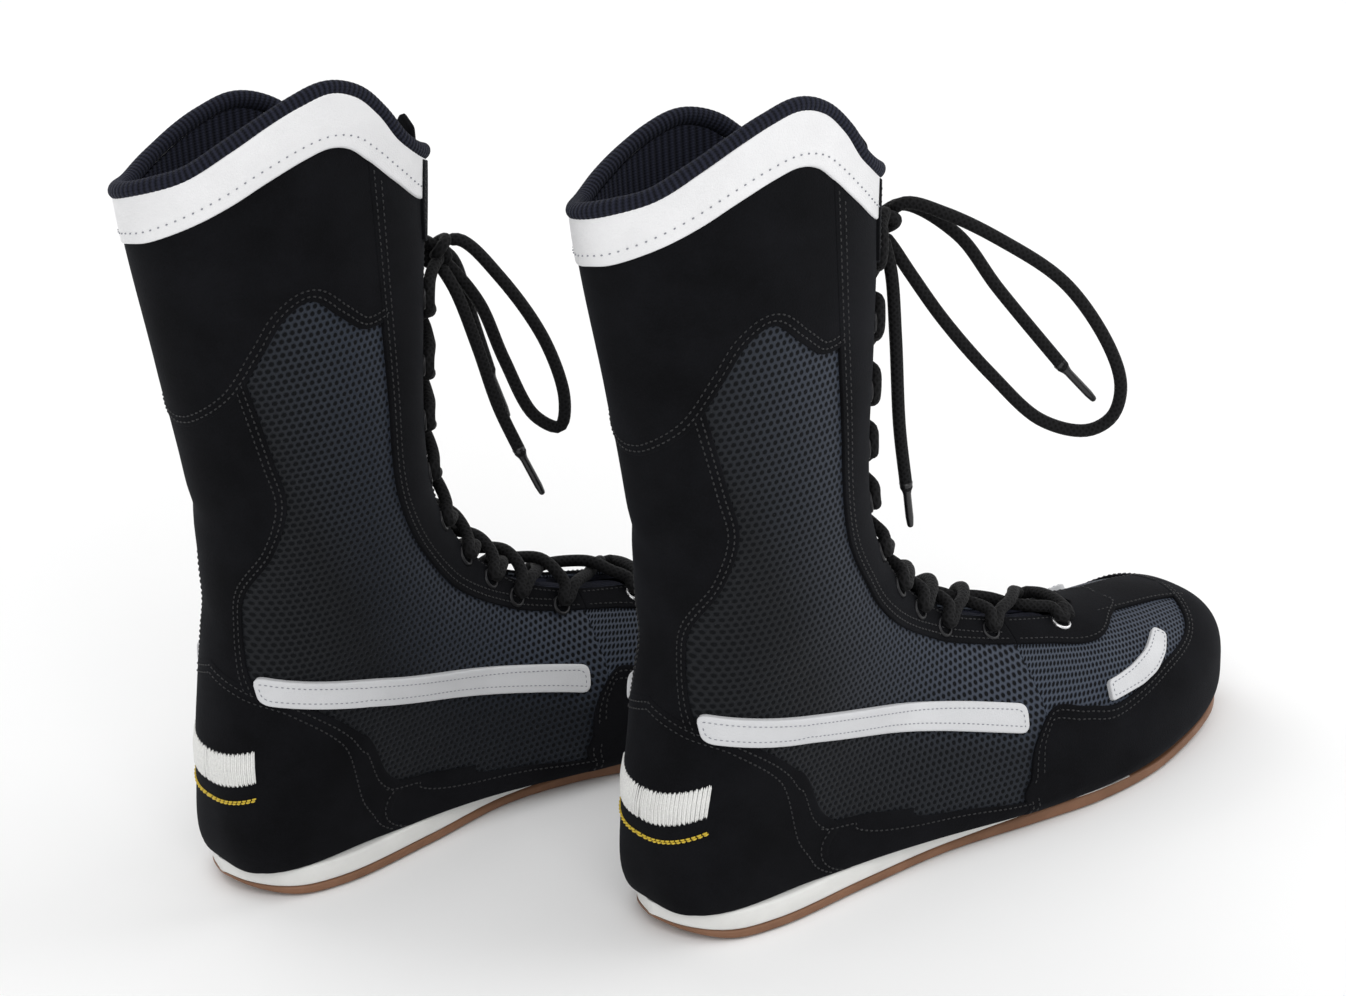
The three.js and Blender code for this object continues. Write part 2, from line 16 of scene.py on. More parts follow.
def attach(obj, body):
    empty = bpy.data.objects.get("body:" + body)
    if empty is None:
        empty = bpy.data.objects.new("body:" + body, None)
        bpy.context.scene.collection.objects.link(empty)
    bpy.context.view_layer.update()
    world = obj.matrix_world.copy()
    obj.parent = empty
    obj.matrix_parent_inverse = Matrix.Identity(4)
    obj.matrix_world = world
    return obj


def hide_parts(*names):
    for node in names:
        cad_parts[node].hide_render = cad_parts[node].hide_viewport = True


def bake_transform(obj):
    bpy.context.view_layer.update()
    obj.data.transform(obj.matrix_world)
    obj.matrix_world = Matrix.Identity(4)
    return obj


bl_info = {
    "name": "Boxing boots",
    "version": (1, 0, 0),
    "blender": (4, 5, 0),
    "location": "View3D > Sidebar > Boots",
    "description": "Builds a pair of lace-up boxing boots around their frame",
    "category": "Add Mesh",
}

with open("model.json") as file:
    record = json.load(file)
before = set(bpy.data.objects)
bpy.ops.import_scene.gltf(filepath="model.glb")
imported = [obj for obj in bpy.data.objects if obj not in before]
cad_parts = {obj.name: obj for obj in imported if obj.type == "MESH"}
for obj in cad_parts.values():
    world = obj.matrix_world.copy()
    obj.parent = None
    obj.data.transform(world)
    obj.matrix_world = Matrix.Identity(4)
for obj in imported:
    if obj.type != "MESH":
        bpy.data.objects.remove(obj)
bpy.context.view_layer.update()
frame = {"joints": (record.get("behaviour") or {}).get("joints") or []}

MM = 0.001
SIDES = ("right", "left")
JOINTS = {joint["name"]: joint for joint in frame["joints"]}
ANKLE_AXIS = (62, 0, 100)
BALL_AXIS = (205, 0, 5)


def boot_origin(side):
    """Where a boot's own frame lies, from its ankle joint."""
    pos = JOINTS[side + "_ankle_flex"]["pos_m"]
    return Vector((pos[0] - ANKLE_AXIS[0] * MM, pos[1], 0))


# ---------------------------------------------------------------- sizes and finishes

def length(name, description, default):
    return FloatProperty(name=name, description=description, default=default * MM, unit="LENGTH")


def colour(name, description, *default):
    return FloatVectorProperty(name=name, description=description, default=default, subtype="COLOR")


class BootSizes(bpy.types.PropertyGroup):
    trim: length("Trim", "Thickness of the stitched-on leather", 1.2)
    lace: length("Lace", "Diameter of the lace", 4.8)
    collar: length("Collar roll", "Diameter of the padded collar roll", 7)
    stitch: length("Stitch", "Length of one stitch", 1.5)
    stitch_gap: length("Stitch pitch", "From one stitch to the next", 2.3)
    spacing: length("Mesh spacing", "Distance between a panel's inner points", 2.6)


class BootColours(bpy.types.PropertyGroup):
    suede: colour("Suede", "Black suede", 0.0035, 0.0036, 0.0045)
    cloth: colour("Mesh cloth", "Threads of the mesh cloth", 0.036, 0.045, 0.064)
    leather: colour("Leather", "White leather", 0.78, 0.78, 0.79)
    trim: colour("Trim", "White side trim", 0.60, 0.605, 0.62)
    knit: colour("Knit", "Ribbed collar and lining", 0.009, 0.010, 0.017)
    lace: colour("Lace", "Braided lace", 0.0045, 0.0045, 0.005)
    foam: colour("Foam", "White midsole", 0.74, 0.74, 0.72)
    gum: colour("Gum rubber", "Outsole", 0.22, 0.105, 0.055)
    grey_thread: colour("Grey thread", "Stitching on leather", 0.25, 0.26, 0.29)
    dark_thread: colour("Dark thread", "Stitching on suede", 0.007, 0.0075, 0.009)
    white_thread: colour("White thread", "Heel band", 0.78, 0.78, 0.76)
    yellow_thread: colour("Yellow thread", "Heel line", 0.62, 0.44, 0.03)


def sizes():
    return bpy.context.scene.boot_sizes


def colours():
    return bpy.context.scene.boot_colours


# ---------------------------------------------------------------- the last

def unit(vectors):
    return vectors / np.maximum(np.linalg.norm(vectors, axis=-1, keepdims=True), 1e-9)


def run_along(points):
    """How far along a path each of its points is."""
    return np.concatenate([[0], np.cumsum(np.linalg.norm(np.diff(points, axis=0), axis=1))])


# Front x, z; back x, z; middle y; lateral and medial half width; where the slice is widest;
# roundness of front and back. The last section closes the nose.
SECTIONS = np.array([
    [122, 330, -4, 330, 0, 36, 36, .50, 1, 1],
    [119, 270, -2, 270, 0, 37, 37, .50, 1, 1],
    [112, 210, 6, 210, 0, 37, 37, .50, 1, 1],
    [107, 165, 12, 160, 0, 36, 36, .50, 1, 1],
    [109, 135, 13, 118, 0, 35, 35, .52, 1, .95],
    [119, 112, 7, 78, 0, 34, 34, .55, 1, .90],
    [133, 97, 2, 42, 1, 33, 33, .60, 1, .80],
    [148, 87, 7, 8, 1, 32, 31, .66, 1, .55],
    [165, 79, 50, 7, 1, 33, 29, .70, 1, .42],
    [184, 72, 105, 6, 0, 37, 31, .72, .98, .38],
    [205, 66, 160, 4, 0, 43, 38, .72, .95, .36],
    [228, 62, 205, 3, 1, 44, 43, .70, .92, .36],
    [250, 58, 240, 5, 3, 39, 41, .66, .90, .38],
    [268, 52, 264, 7, 5, 30, 34, .60, .85, .42],
    [280, 42, 279, 11, 7, 19, 23, .56, .80, .50],
    [286, 28, 286, 15, 8, 7, 9, .50, .80, .60],
    [288, 21.5, 288, 21, 8, .2, .2, .50, .80, .60],
])
NOSE = len(SECTIONS) - 1.0
CREASE = 1.3


def section(u):
    u = np.clip(np.asarray(u, float), 0, NOSE)
    i = np.minimum(u.astype(int), len(SECTIONS) - 2)
    t = (u - i)[..., None]
    at = lambda k: SECTIONS[np.clip(i + k, 0, len(SECTIONS) - 1)]
    p, q = at(0), at(1)
    slope_in, slope_out = (q - at(-1)) / 2, (at(2) - p) / 2
    slope_out = np.where((i == len(SECTIONS) - 2)[..., None], q - p, slope_out)
    rise = q - p
    return p + t * (slope_in + t * (3 * rise - 2 * slope_in - slope_out + t * (slope_in + slope_out - 2 * rise)))


def bare_point(u, angle):
    k = np.moveaxis(section(u), -1, 0)
    angle = np.asarray(angle, float)
    c, s = np.cos(angle), np.abs(np.sin(angle))
    share = np.where(c >= 0, k[7] * (1 - np.abs(c) ** k[8]), k[7] + (1 - k[7]) * np.abs(c) ** k[9])
    half = np.where(np.sin(angle) < 0, -k[5], k[6])
    width = s ** np.where(c >= 0, k[8], k[9])
    return np.stack([k[0] + (k[2] - k[0]) * share, k[4] + half * width, k[1] + (k[3] - k[1]) * share], -1)


def bare_normal(u, angle):
    step = 0.02
    along = bare_point(np.minimum(u + step, NOSE), angle) - bare_point(np.maximum(u - step, 0), angle)
    around = bare_point(u, angle + step) - bare_point(u, angle - step)
    return unit(np.cross(along, around))


def softness(u, angle):
    """Soft folds that every layer of the upper shares: creases at the ankle and gentle waves up the shaft."""
    u, angle = np.asarray(u, float), np.asarray(angle, float)
    back = 0.5 - 0.5 * np.cos(angle)
    side = np.abs(np.sin(angle))
    ankle = np.exp(-((u - 3.0 - 0.25 * np.cos(2 * angle)) / 0.16) ** 2) * back ** 3
    lower = np.exp(-((u - 4.3 + 0.4 * side) / 0.22) ** 2) * back ** 2 * 0.6
    shaft = 0.45 * np.sin(3 * angle + 1.3 * u) * np.exp(-((u - 1.8) / 0.9) ** 2)
    waves = 0.35 * np.sin(5.2 * u + 2 * np.sin(angle)) * side * np.exp(-((u - 4.6) / 1.2) ** 2)
    ball = 0.35 * np.sin(7.5 * u) * np.exp(-((u - 10.2) / 0.8) ** 2) * (np.cos(angle) > -0.2) * side
    return -CREASE * (ankle + lower) + shaft + waves + ball


def surface(u, angle, offset=0.0):
    u, angle = np.broadcast_arrays(np.asarray(u, float), np.asarray(angle, float))
    lift = np.asarray(offset + softness(u, angle))
    return bare_point(u, angle) + bare_normal(u, angle) * lift[..., None]


# A pattern is cut flat: the run along the last's side, and the angle round it times GIRTH.
GIRTH = 42.0
U_TABLE = np.linspace(0, NOSE, 2001)
ON_BACK = 880
RUN_TABLE = run_along(bare_point(U_TABLE, np.full(len(U_TABLE), -math.pi / 2)))
FRONT_LINE = bare_point(U_TABLE, np.zeros(len(U_TABLE)))
BACK_LINE = bare_point(U_TABLE[:ON_BACK], np.full(ON_BACK, math.pi))

run_of = lambda u: np.interp(u, U_TABLE, RUN_TABLE)
u_of = lambda run: np.interp(run, RUN_TABLE, U_TABLE)
front_u = lambda z: float(np.interp(-z, -FRONT_LINE[:, 2], U_TABLE))
back_u = lambda z: float(np.interp(-z, -BACK_LINE[:, 2], U_TABLE[:ON_BACK]))

# ---------------------------------------------------------------- the sole's lines

SOLE_LATERAL = [(3, 0), (8, -15), (20, -27), (40, -32), (80, -31), (120, -31), (160, -37), (190, -40.5), (220, -38),
                (240, -32.5), (255, -27), (268, -20), (277, -11), (282, -2), (284, 6)]
SOLE_MEDIAL = [(3, 0), (8, 15), (20, 27), (40, 32), (80, 28), (120, 22), (150, 26), (180, 36), (205, 41.5), (225, 41.5),
               (245, 39.7), (260, 36.8), (271, 32.2), (279, 25), (283, 16), (284, 6)]
OUTSOLE, MIDSOLE_HEEL, MIDSOLE_BALL = 3.5, 7.7, 1.2
TOE_SPRING, HEEL_BEVEL, BEVEL_LENGTH, WEDGE_START = 8, 7, 28, 80
SEAM = 0.3


def smoothstep(x, a, b):
    t = np.clip((np.asarray(x, float) - a) / (b - a), 0, 1)
    return t * t * (3 - 2 * t)


def spring(x):
    return TOE_SPRING * (np.clip(np.asarray(x, float) - BALL_AXIS[0], 0, None) / (290 - BALL_AXIS[0])) ** 2


def heel_lift(x):
    return HEEL_BEVEL * (np.clip(BEVEL_LENGTH - np.asarray(x, float), 0, None) / BEVEL_LENGTH) ** 2


def outsole_top(x):
    return spring(x) + OUTSOLE + heel_lift(x) * 0.5


def sole_top(x):
    return spring(x) + OUTSOLE + SEAM + MIDSOLE_HEEL + (MIDSOLE_BALL - MIDSOLE_HEEL) * smoothstep(x, WEDGE_START, 205)


def hem_drop(x):
    """How far the suede hangs over the side of the sole at the toe."""
    return 1.3 * smoothstep(x, 195, 230) * (1 - smoothstep(x, 255, 272))


def spline(points, step):
    """An even run of points along a centripetal curve through a few."""
    p = np.asarray(points, float)
    p = np.vstack([2 * p[0] - p[1], p, 2 * p[-1] - p[-2]])
    out = []
    for a, b, c, d in zip(p[:-3], p[1:-2], p[2:-1], p[3:]):
        t = [0]
        for m, n in ((a, b), (b, c), (c, d)):
            t.append(t[-1] + max(np.linalg.norm(n - m), 1e-6) ** 0.5)
        s = np.linspace(t[1], t[2], 25)[:-1, None]
        ab = (t[1] - s) / t[1] * a + s / t[1] * b
        bc = (t[2] - s) / (t[2] - t[1]) * b + (s - t[1]) / (t[2] - t[1]) * c
        cd = (t[3] - s) / (t[3] - t[2]) * c + (s - t[2]) / (t[3] - t[2]) * d
        abc = (t[2] - s) / t[2] * ab + s / t[2] * bc
        bcd = (t[3] - s) / (t[3] - t[1]) * bc + (s - t[1]) / (t[3] - t[1]) * cd
        out.append((t[2] - s) / (t[2] - t[1]) * abc + (s - t[1]) / (t[2] - t[1]) * bcd)
    dense = np.vstack(out + [p[-2][None]])
    return even(dense, step)


def even(points, step):
    run = run_along(points)
    count = max(2, int(round(run[-1] / step)) + 1)
    at = np.linspace(0, run[-1], count)
    return np.stack([np.interp(at, run, points[:, k]) for k in range(points.shape[1])], -1)


def sole_angle(u):
    """The angle from the front at which each slice meets the sole, or half a turn where it stays above it."""
    angles = np.linspace(math.pi / 2, math.pi, 260)
    grid_u, grid_a = np.meshgrid(np.atleast_1d(u), angles, indexing="ij")
    result = []
    for sign in (-1, 1):
        p = bare_point(grid_u, sign * grid_a)
        below = p[..., 2] < sole_top(p[..., 0]) - 1.0
        first = np.where(below.any(1), below.argmax(1), len(angles) - 1)
        result.append(angles[first])
    return result


# ---------------------------------------------------------------- outlines on the last

BACK, FRONT = "back", "front"
TABLE_U, TABLE_A = np.meshgrid(np.linspace(0, NOSE, 330), np.linspace(0.02, math.pi - 0.02, 200), indexing="ij")
TABLES = {sign: bare_point(TABLE_U, sign * TABLE_A)[..., [0, 2]] for sign in (-1, 1)}


def chart(point, sign, behind=False):
    """A pattern point as run along the last and way round it, in millimetres.

    A point is side-view (x, z), (BACK, z), or (FRONT, y, z): y from the middle, on the slice whose
    front line is z high. Behind puts the cut at the front, so that a piece can pass round the back."""
    if point[0] == BACK:
        return np.array([run_of(back_u(point[1])), (1 if behind else sign) * math.pi * GIRTH])
    if point[0] == FRONT:
        u = front_u(point[2])
        k = section(u)
        half = k[5] if sign < 0 else k[6]
        angle = sign * math.asin(min(1, (abs(point[1]) / half) ** (1 / k[8])))
    else:
        miss = ((TABLES[sign] - np.array(point)) ** 2).sum(-1)
        i, j = np.unravel_index(miss.argmin(), miss.shape)
        u, angle = TABLE_U[i, j], TABLE_A[i, j]
        for _ in range(6):
            p = bare_point(u, sign * angle)[[0, 2]]
            du = (bare_point(u + .01, sign * angle)[[0, 2]] - p) / .01
            da = (bare_point(u, sign * (angle + .01))[[0, 2]] - p) / .01
            m = np.stack([du, da], 1)
            if abs(np.linalg.det(m)) < 1e-3:
                break
            step = np.clip(np.linalg.solve(m, np.array(point) - p), -.1, .1)
            u, angle = float(np.clip(u + step[0], 0, NOSE)), float(np.clip(angle + step[1], 0.001, math.pi - .001))
        angle *= sign
    if behind and angle < 0:
        angle += 2 * math.pi
    return np.array([run_of(u), angle * GIRTH])


def chain(points, sign=-1, behind=False, step=1.3, smooth=True):
    flat = np.array([chart(p, sign, behind) for p in points])
    return spline(flat, step) if smooth and len(flat) > 2 else even(flat, step)


def closed(*edges):
    """Joins edges head to tail into one outline, turning an edge round where its far end is nearer."""
    outline = [edges[0]]
    for edge in edges[1:]:
        tail = outline[-1][-1]
        if np.linalg.norm(edge[-1] - tail) < np.linalg.norm(edge[0] - tail):
            edge = edge[::-1]
        outline.append(edge)
    points = np.vstack([edge[:-1] for edge in outline] + [outline[-1][-1:]])
    keep = np.linalg.norm(np.diff(points, axis=0, append=points[:1]), axis=1) > 0.05
    return points[keep]


def turn(outline):
    x, y = outline.T
    return 0.5 * np.sum(x * np.roll(y, -1) - np.roll(x, -1) * y)


def inward(outline, distance):
    """The outline moved inwards, as points only."""
    run = unit(np.roll(outline, -1, 0) - np.roll(outline, 1, 0))
    return outline + np.stack([-run[:, 1], run[:, 0]], -1) * distance * np.sign(turn(outline))


def distance_to(points, outline):
    a, b = outline, np.roll(outline, -1, 0)
    best = np.full(len(points), 1e9)
    for start in range(0, len(a), 64):
        p, q = a[start:start + 64][None], b[start:start + 64][None]
        d = q - p
        t = np.clip(((points[:, None] - p) * d).sum(-1) / np.maximum((d * d).sum(-1), 1e-9), 0, 1)
        best = np.minimum(best, np.linalg.norm(points[:, None] - p - d * t[..., None], axis=-1).min(1))
    return best


def inside(points, outline):
    x, y = points.T
    result = np.zeros(len(points), bool)
    for (x0, y0), (x1, y1) in zip(outline, np.roll(outline, -1, 0)):
        if y0 != y1:
            result ^= ((y0 > y) != (y1 > y)) & (x < (x1 - x0) * (y - y0) / (y1 - y0) + x0)
    return result


# ---------------------------------------------------------------- meshes

def panel(edges, top, under, rim=0.45, free=(), step=None, bulge=None):
    """A panel cut to an outline on the last, with a rolled rim and a closed underside.

    Edges named in free get no rim: they meet themselves at the toe. Returns points, faces and pattern."""
    step = step or sizes().spacing / MM
    outline = closed(*edges)
    if turn(outline) < 0:
        outline = outline[::-1]
    points = [outline]
    for depth in (0.12 * rim, 0.45 * rim, 1.0 * rim, 1.0 * rim + 1.0):
        ring = inward(outline, depth)
        ring = ring[inside(ring, outline)]
        points.append(ring[distance_to(ring, outline) > 0.8 * depth])
    low, high = outline.min(0), outline.max(0)
    grid = []
    for k, y in enumerate(np.arange(low[1], high[1], step * 0.866)):
        xs = np.arange(low[0] + (k % 2) * step / 2, high[0], step)
        grid.append(np.stack([xs, np.full(len(xs), y)], -1))
    grid = np.concatenate(grid)
    grid = grid[inside(grid, outline)]
    points.append(grid[distance_to(grid, outline) > rim + 1.0 + 0.45 * step])
    points = np.concatenate(points)
    count = len(outline)
    fence = [(k, (k + 1) % count) for k in range(count)]
    verts, _, faces, _, _, _ = delaunay_2d_cdt([Vector(p) for p in points], fence, [], 1, 1e-4)
    flat = np.array([(v.x, v.y) for v in verts])
    if free:
        gap = np.min([distance_to_line(flat, edge) for k, edge in enumerate(edges) if k not in free], axis=0)
    else:
        gap = distance_to(flat, outline)
    t = 1 - np.clip(gap / rim, 0, 1)
    drop = min(rim, (top - under) * 0.8) * (1 - np.sqrt(np.clip(1 - t * t, 0, 1)))
    u, angle = u_of(flat[:, 0]), flat[:, 1] / GIRTH
    swell = 0 if bulge is None else bulge(u, angle, gap)
    upper = surface(u, angle, top - drop + swell)
    lower = surface(u, angle, np.full(len(flat), float(under)))
    n = len(flat)
    tris = [tuple(f) for f in faces]
    used = {side: None for f in tris for side in zip(f, f[1:] + f[:1])}
    walls = [(b, a, a + n, b + n) for (a, b) in used if (b, a) not in used]
    faces = tris + [tuple(k + n for k in reversed(f)) for f in tris] + walls
    return np.vstack([upper, lower]), faces, np.vstack([flat, flat])


def distance_to_line(points, line):
    best = np.full(len(points), 1e9)
    for a, b in zip(line[:-1], line[1:]):
        d = b - a
        t = np.clip(((points - a) @ d) / max(d @ d, 1e-9), 0, 1)
        best = np.minimum(best, np.linalg.norm(points - a - t[:, None] * d, axis=1))
    return best


def net(rows, wrap=False):
    """Points and faces of a net of points, given as an array of rows."""
    m, n = rows.shape[:2]
    index = np.arange(m * n).reshape(m, n)
    if wrap:
        index = np.hstack([index, index[:, :1]])
    quads = np.stack([index[:-1, :-1], index[:-1, 1:], index[1:, 1:], index[1:, :-1]], -1).reshape(-1, 4)
    return rows.reshape(-1, 3), [tuple(int(k) for k in q) for q in quads]


def tube(path, radius, sides=12):
    """A round tube along a path, closed at both ends, with its girth and length as the pattern."""
    path = np.asarray(path, float)
    radius = np.broadcast_to(np.asarray(radius, float), (len(path),))
    run = unit(np.gradient(path, axis=0))
    side = np.cross(run[0], [0, 0, 1.0])
    if np.linalg.norm(side) < 0.1:
        side = np.cross(run[0], [1.0, 0, 0])
    rings = []
    for centre, r, ahead, far in zip(path, radius, run, run_along(path)):
        side = unit(side - ahead * (side @ ahead))
        rings.append((centre, r, ahead, side, far))
    caps = [[(c + sign * ahead * r * math.sin(t) * 0.8, r * math.cos(t), ahead, side, far) for t in (0.6, 1.1, 1.5)]
            for (c, r, ahead, side, far), sign in ((rings[0], -1), (rings[-1], 1))]
    rows, pattern = [], []
    angles = np.linspace(0, 2 * math.pi, sides + 1)
    for centre, r, ahead, side, far in caps[0][::-1] + rings + caps[1]:
        across = np.cross(ahead, side)
        rows.append(centre + r * (np.cos(angles)[:, None] * side + np.sin(angles)[:, None] * across))
        pattern.append(np.stack([angles * r, np.full(len(angles), far)], -1))
    rows, pattern = np.array(rows), np.array(pattern).reshape(-1, 2)
    co, faces = net(rows)
    m, n = rows.shape[:2]
    return co, faces + [tuple(range(n - 1))[::-1], tuple((m - 1) * n + k for k in range(n - 1))], pattern


def stitch_row(line, lift, inset=0.0, length=None, pitch=None, radius=0.3, side_of=None):
    """Small sewn stitches along a line on the last."""
    length = length or sizes().stitch / MM
    pitch = pitch or sizes().stitch_gap / MM
    if side_of is not None:
        tangent = unit(np.gradient(line, axis=0))
        left = np.stack([-tangent[:, 1], tangent[:, 0]], -1)
        moved = line + left * inset
        if inside(moved[len(moved) // 2][None], side_of).sum() == 0:
            moved = line - left * inset
        keep = inside(moved, side_of) & (distance_to(moved, side_of) > inset * 0.9)
        line = moved[keep]
        if len(line) < 3:
            return []
    u, angle = u_of(line[:, 0]), line[:, 1] / GIRTH
    base = surface(u, angle, np.full(len(line), lift))
    normal = bare_normal(u, angle)
    jump = np.linalg.norm(np.diff(base, axis=0), axis=1)
    run = np.concatenate([[0], np.cumsum(jump)])
    out = []
    gaps = run[:-1][jump > 4]
    for centre in np.arange(pitch / 2, run[-1] - length / 2, pitch):
        if len(gaps) and np.abs(gaps - centre).min() < 4:
            continue
        stops = centre + length * np.array([-0.5, -0.36, 0, 0.36, 0.5])
        p = np.stack([np.interp(stops, run, base[:, k]) for k in range(3)], -1)
        n = unit(np.stack([np.interp(stops, run, normal[:, k]) for k in range(3)], -1))
        p = p + n * radius * np.array([-0.9, 0.1, 0.45, 0.1, -0.9])[:, None]
        out.append((p, n, radius))
    return out


def threads(strands, sides=6):
    """Joins small strands, each a run of five points with its normals and radius, into one mesh."""
    co, faces, pattern = [], [], []
    for p, n, radius in strands:
        start = len(co)
        side = np.cross(unit(np.gradient(p, axis=0)), n)
        co.append(p[0])
        pattern.append((0, 0))
        for k in (1, 2, 3):
            r = radius * (0.85, 1.0, 0.85)[k - 1]
            for j in range(sides):
                a = 2 * math.pi * j / sides
                co.append(p[k] + r * (math.cos(a) * side[k] + math.sin(a) * n[k]))
                pattern.append((j / sides, k / 4))
        co.append(p[-1])
        pattern.append((0, 1))
        ring = lambda k: [start + 1 + k * sides + j % sides for j in range(sides + 1)]
        for j in range(sides):
            faces.append((start, ring(0)[j], ring(0)[j + 1]))
            for k in (0, 1):
                faces.append((ring(k)[j], ring(k + 1)[j], ring(k + 1)[j + 1], ring(k)[j + 1]))
            faces.append((ring(2)[j], start + 1 + 3 * sides, ring(2)[j + 1]))
    return np.array(co), faces, np.array(pattern)


def deselect():
    bpy.ops.object.select_all(action="DESELECT")


def pick(obj):
    deselect()
    obj.select_set(True)
    bpy.context.view_layer.objects.active = obj


def tidy_mesh(obj, merge=0.00002, smooth=35):
    pick(obj)
    bpy.ops.object.mode_set(mode="EDIT")
    bpy.ops.mesh.select_all(action="SELECT")
    bpy.ops.mesh.remove_doubles(threshold=merge)
    bpy.ops.mesh.normals_make_consistent(inside=False)
    bpy.ops.object.mode_set(mode="OBJECT")
    bpy.ops.object.shade_smooth_by_angle(angle=math.radians(smooth))


def new_object(name, co, faces, pattern=None):
    """An object of points in millimetres in the boot's frame, with its pattern in metres on the UV map."""
    mesh = bpy.data.meshes.new(name)
    mesh.from_pydata((np.asarray(co) * MM).tolist(), [], [tuple(int(k) for k in f) for f in faces])
    if pattern is not None:
        layer = mesh.uv_layers.new(name="pattern")
        loops = np.empty(len(mesh.loops), int)
        mesh.loops.foreach_get("vertex_index", loops)
        layer.data.foreach_set("uv", (np.asarray(pattern)[loops] * MM).astype(np.float32).ravel())
    obj = bpy.data.objects.new(name, mesh)
    bpy.context.collection.objects.link(obj)
    return obj


def apply_modifier(obj, kind, **settings):
    pick(obj)
    modifier = obj.modifiers.new(kind.title(), kind)
    for key, value in settings.items():
        setattr(modifier, key, value)
    bpy.ops.object.modifier_apply(modifier=modifier.name)


SLABS = {"ankle": ("shaft", (62, 0, 80), (62, 0, 150)), "ball": ("toe", (185, 0, 5), (228, 0, 5))}


def move_with(piece, side, motion):
    """Foot, shaft and toe pieces ride with their body; ankle and ball pieces only have their transform baked."""
    if motion in SLABS:
        part, start, end = SLABS[motion]
        origin = boot_origin(side)
        start, end = (tuple(origin + Vector(at) * MM) for at in (start, end))
        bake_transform(piece)
    else:
        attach(piece, "feet" if motion == "foot" else side + "_" + motion)


LEAN = 0.28
LEAN_HEIGHTS = (150, 290)


def onto_boot(obj, side):
    """Moves a mesh made in the boot's own frame to its boot. The left boot's is the mirror image, and both shafts
    lean over the same way, so that their collars slope."""
    mesh = obj.data
    flip = side == "left"
    co = np.empty(len(mesh.vertices) * 3, np.float32)
    mesh.vertices.foreach_get("co", co)
    co = co.reshape(-1, 3)
    co[:, 2] -= (-1 if flip else 1) * LEAN * smoothstep(co[:, 2] / MM, *LEAN_HEIGHTS) * co[:, 1]
    mesh.vertices.foreach_set("co", co.ravel())
    mesh.transform(Matrix.Translation(boot_origin(side)) @ Matrix.Diagonal((1, -1 if flip else 1, 1, 1)))
    if flip:
        mesh.flip_normals()
    mesh.update()


def wear(obj, finish, motion, side, nodes=()):
    obj.data.materials.clear()
    obj.data.materials.append(finish)
    move_with(obj, side, motion)
    if nodes:
        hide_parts(*[side + "_" + node for node in nodes])


def both_boots(master, finish, motion, nodes=()):
    """Copies a finished master to the right and the left boot, each with its own mesh."""
    made = []
    for side in SIDES:
        obj = master if side == "left" else bpy.data.objects.new("copy", master.data.copy())
        if side == "right":
            bpy.context.collection.objects.link(obj)
            base = master.name
        obj.name = side + "_" + base
        obj.data.name = obj.name
        onto_boot(obj, side)
        wear(obj, finish, motion, side, nodes)
        made.append(obj)
    return made


def sew(name, shape, finish, motion, nodes=(), merge=0.00002, smooth=35):
    master = new_object(name, *shape)
    tidy_mesh(master, merge, smooth)
    return both_boots(master, finish, motion, nodes)


# ---------------------------------------------------------------- finishes

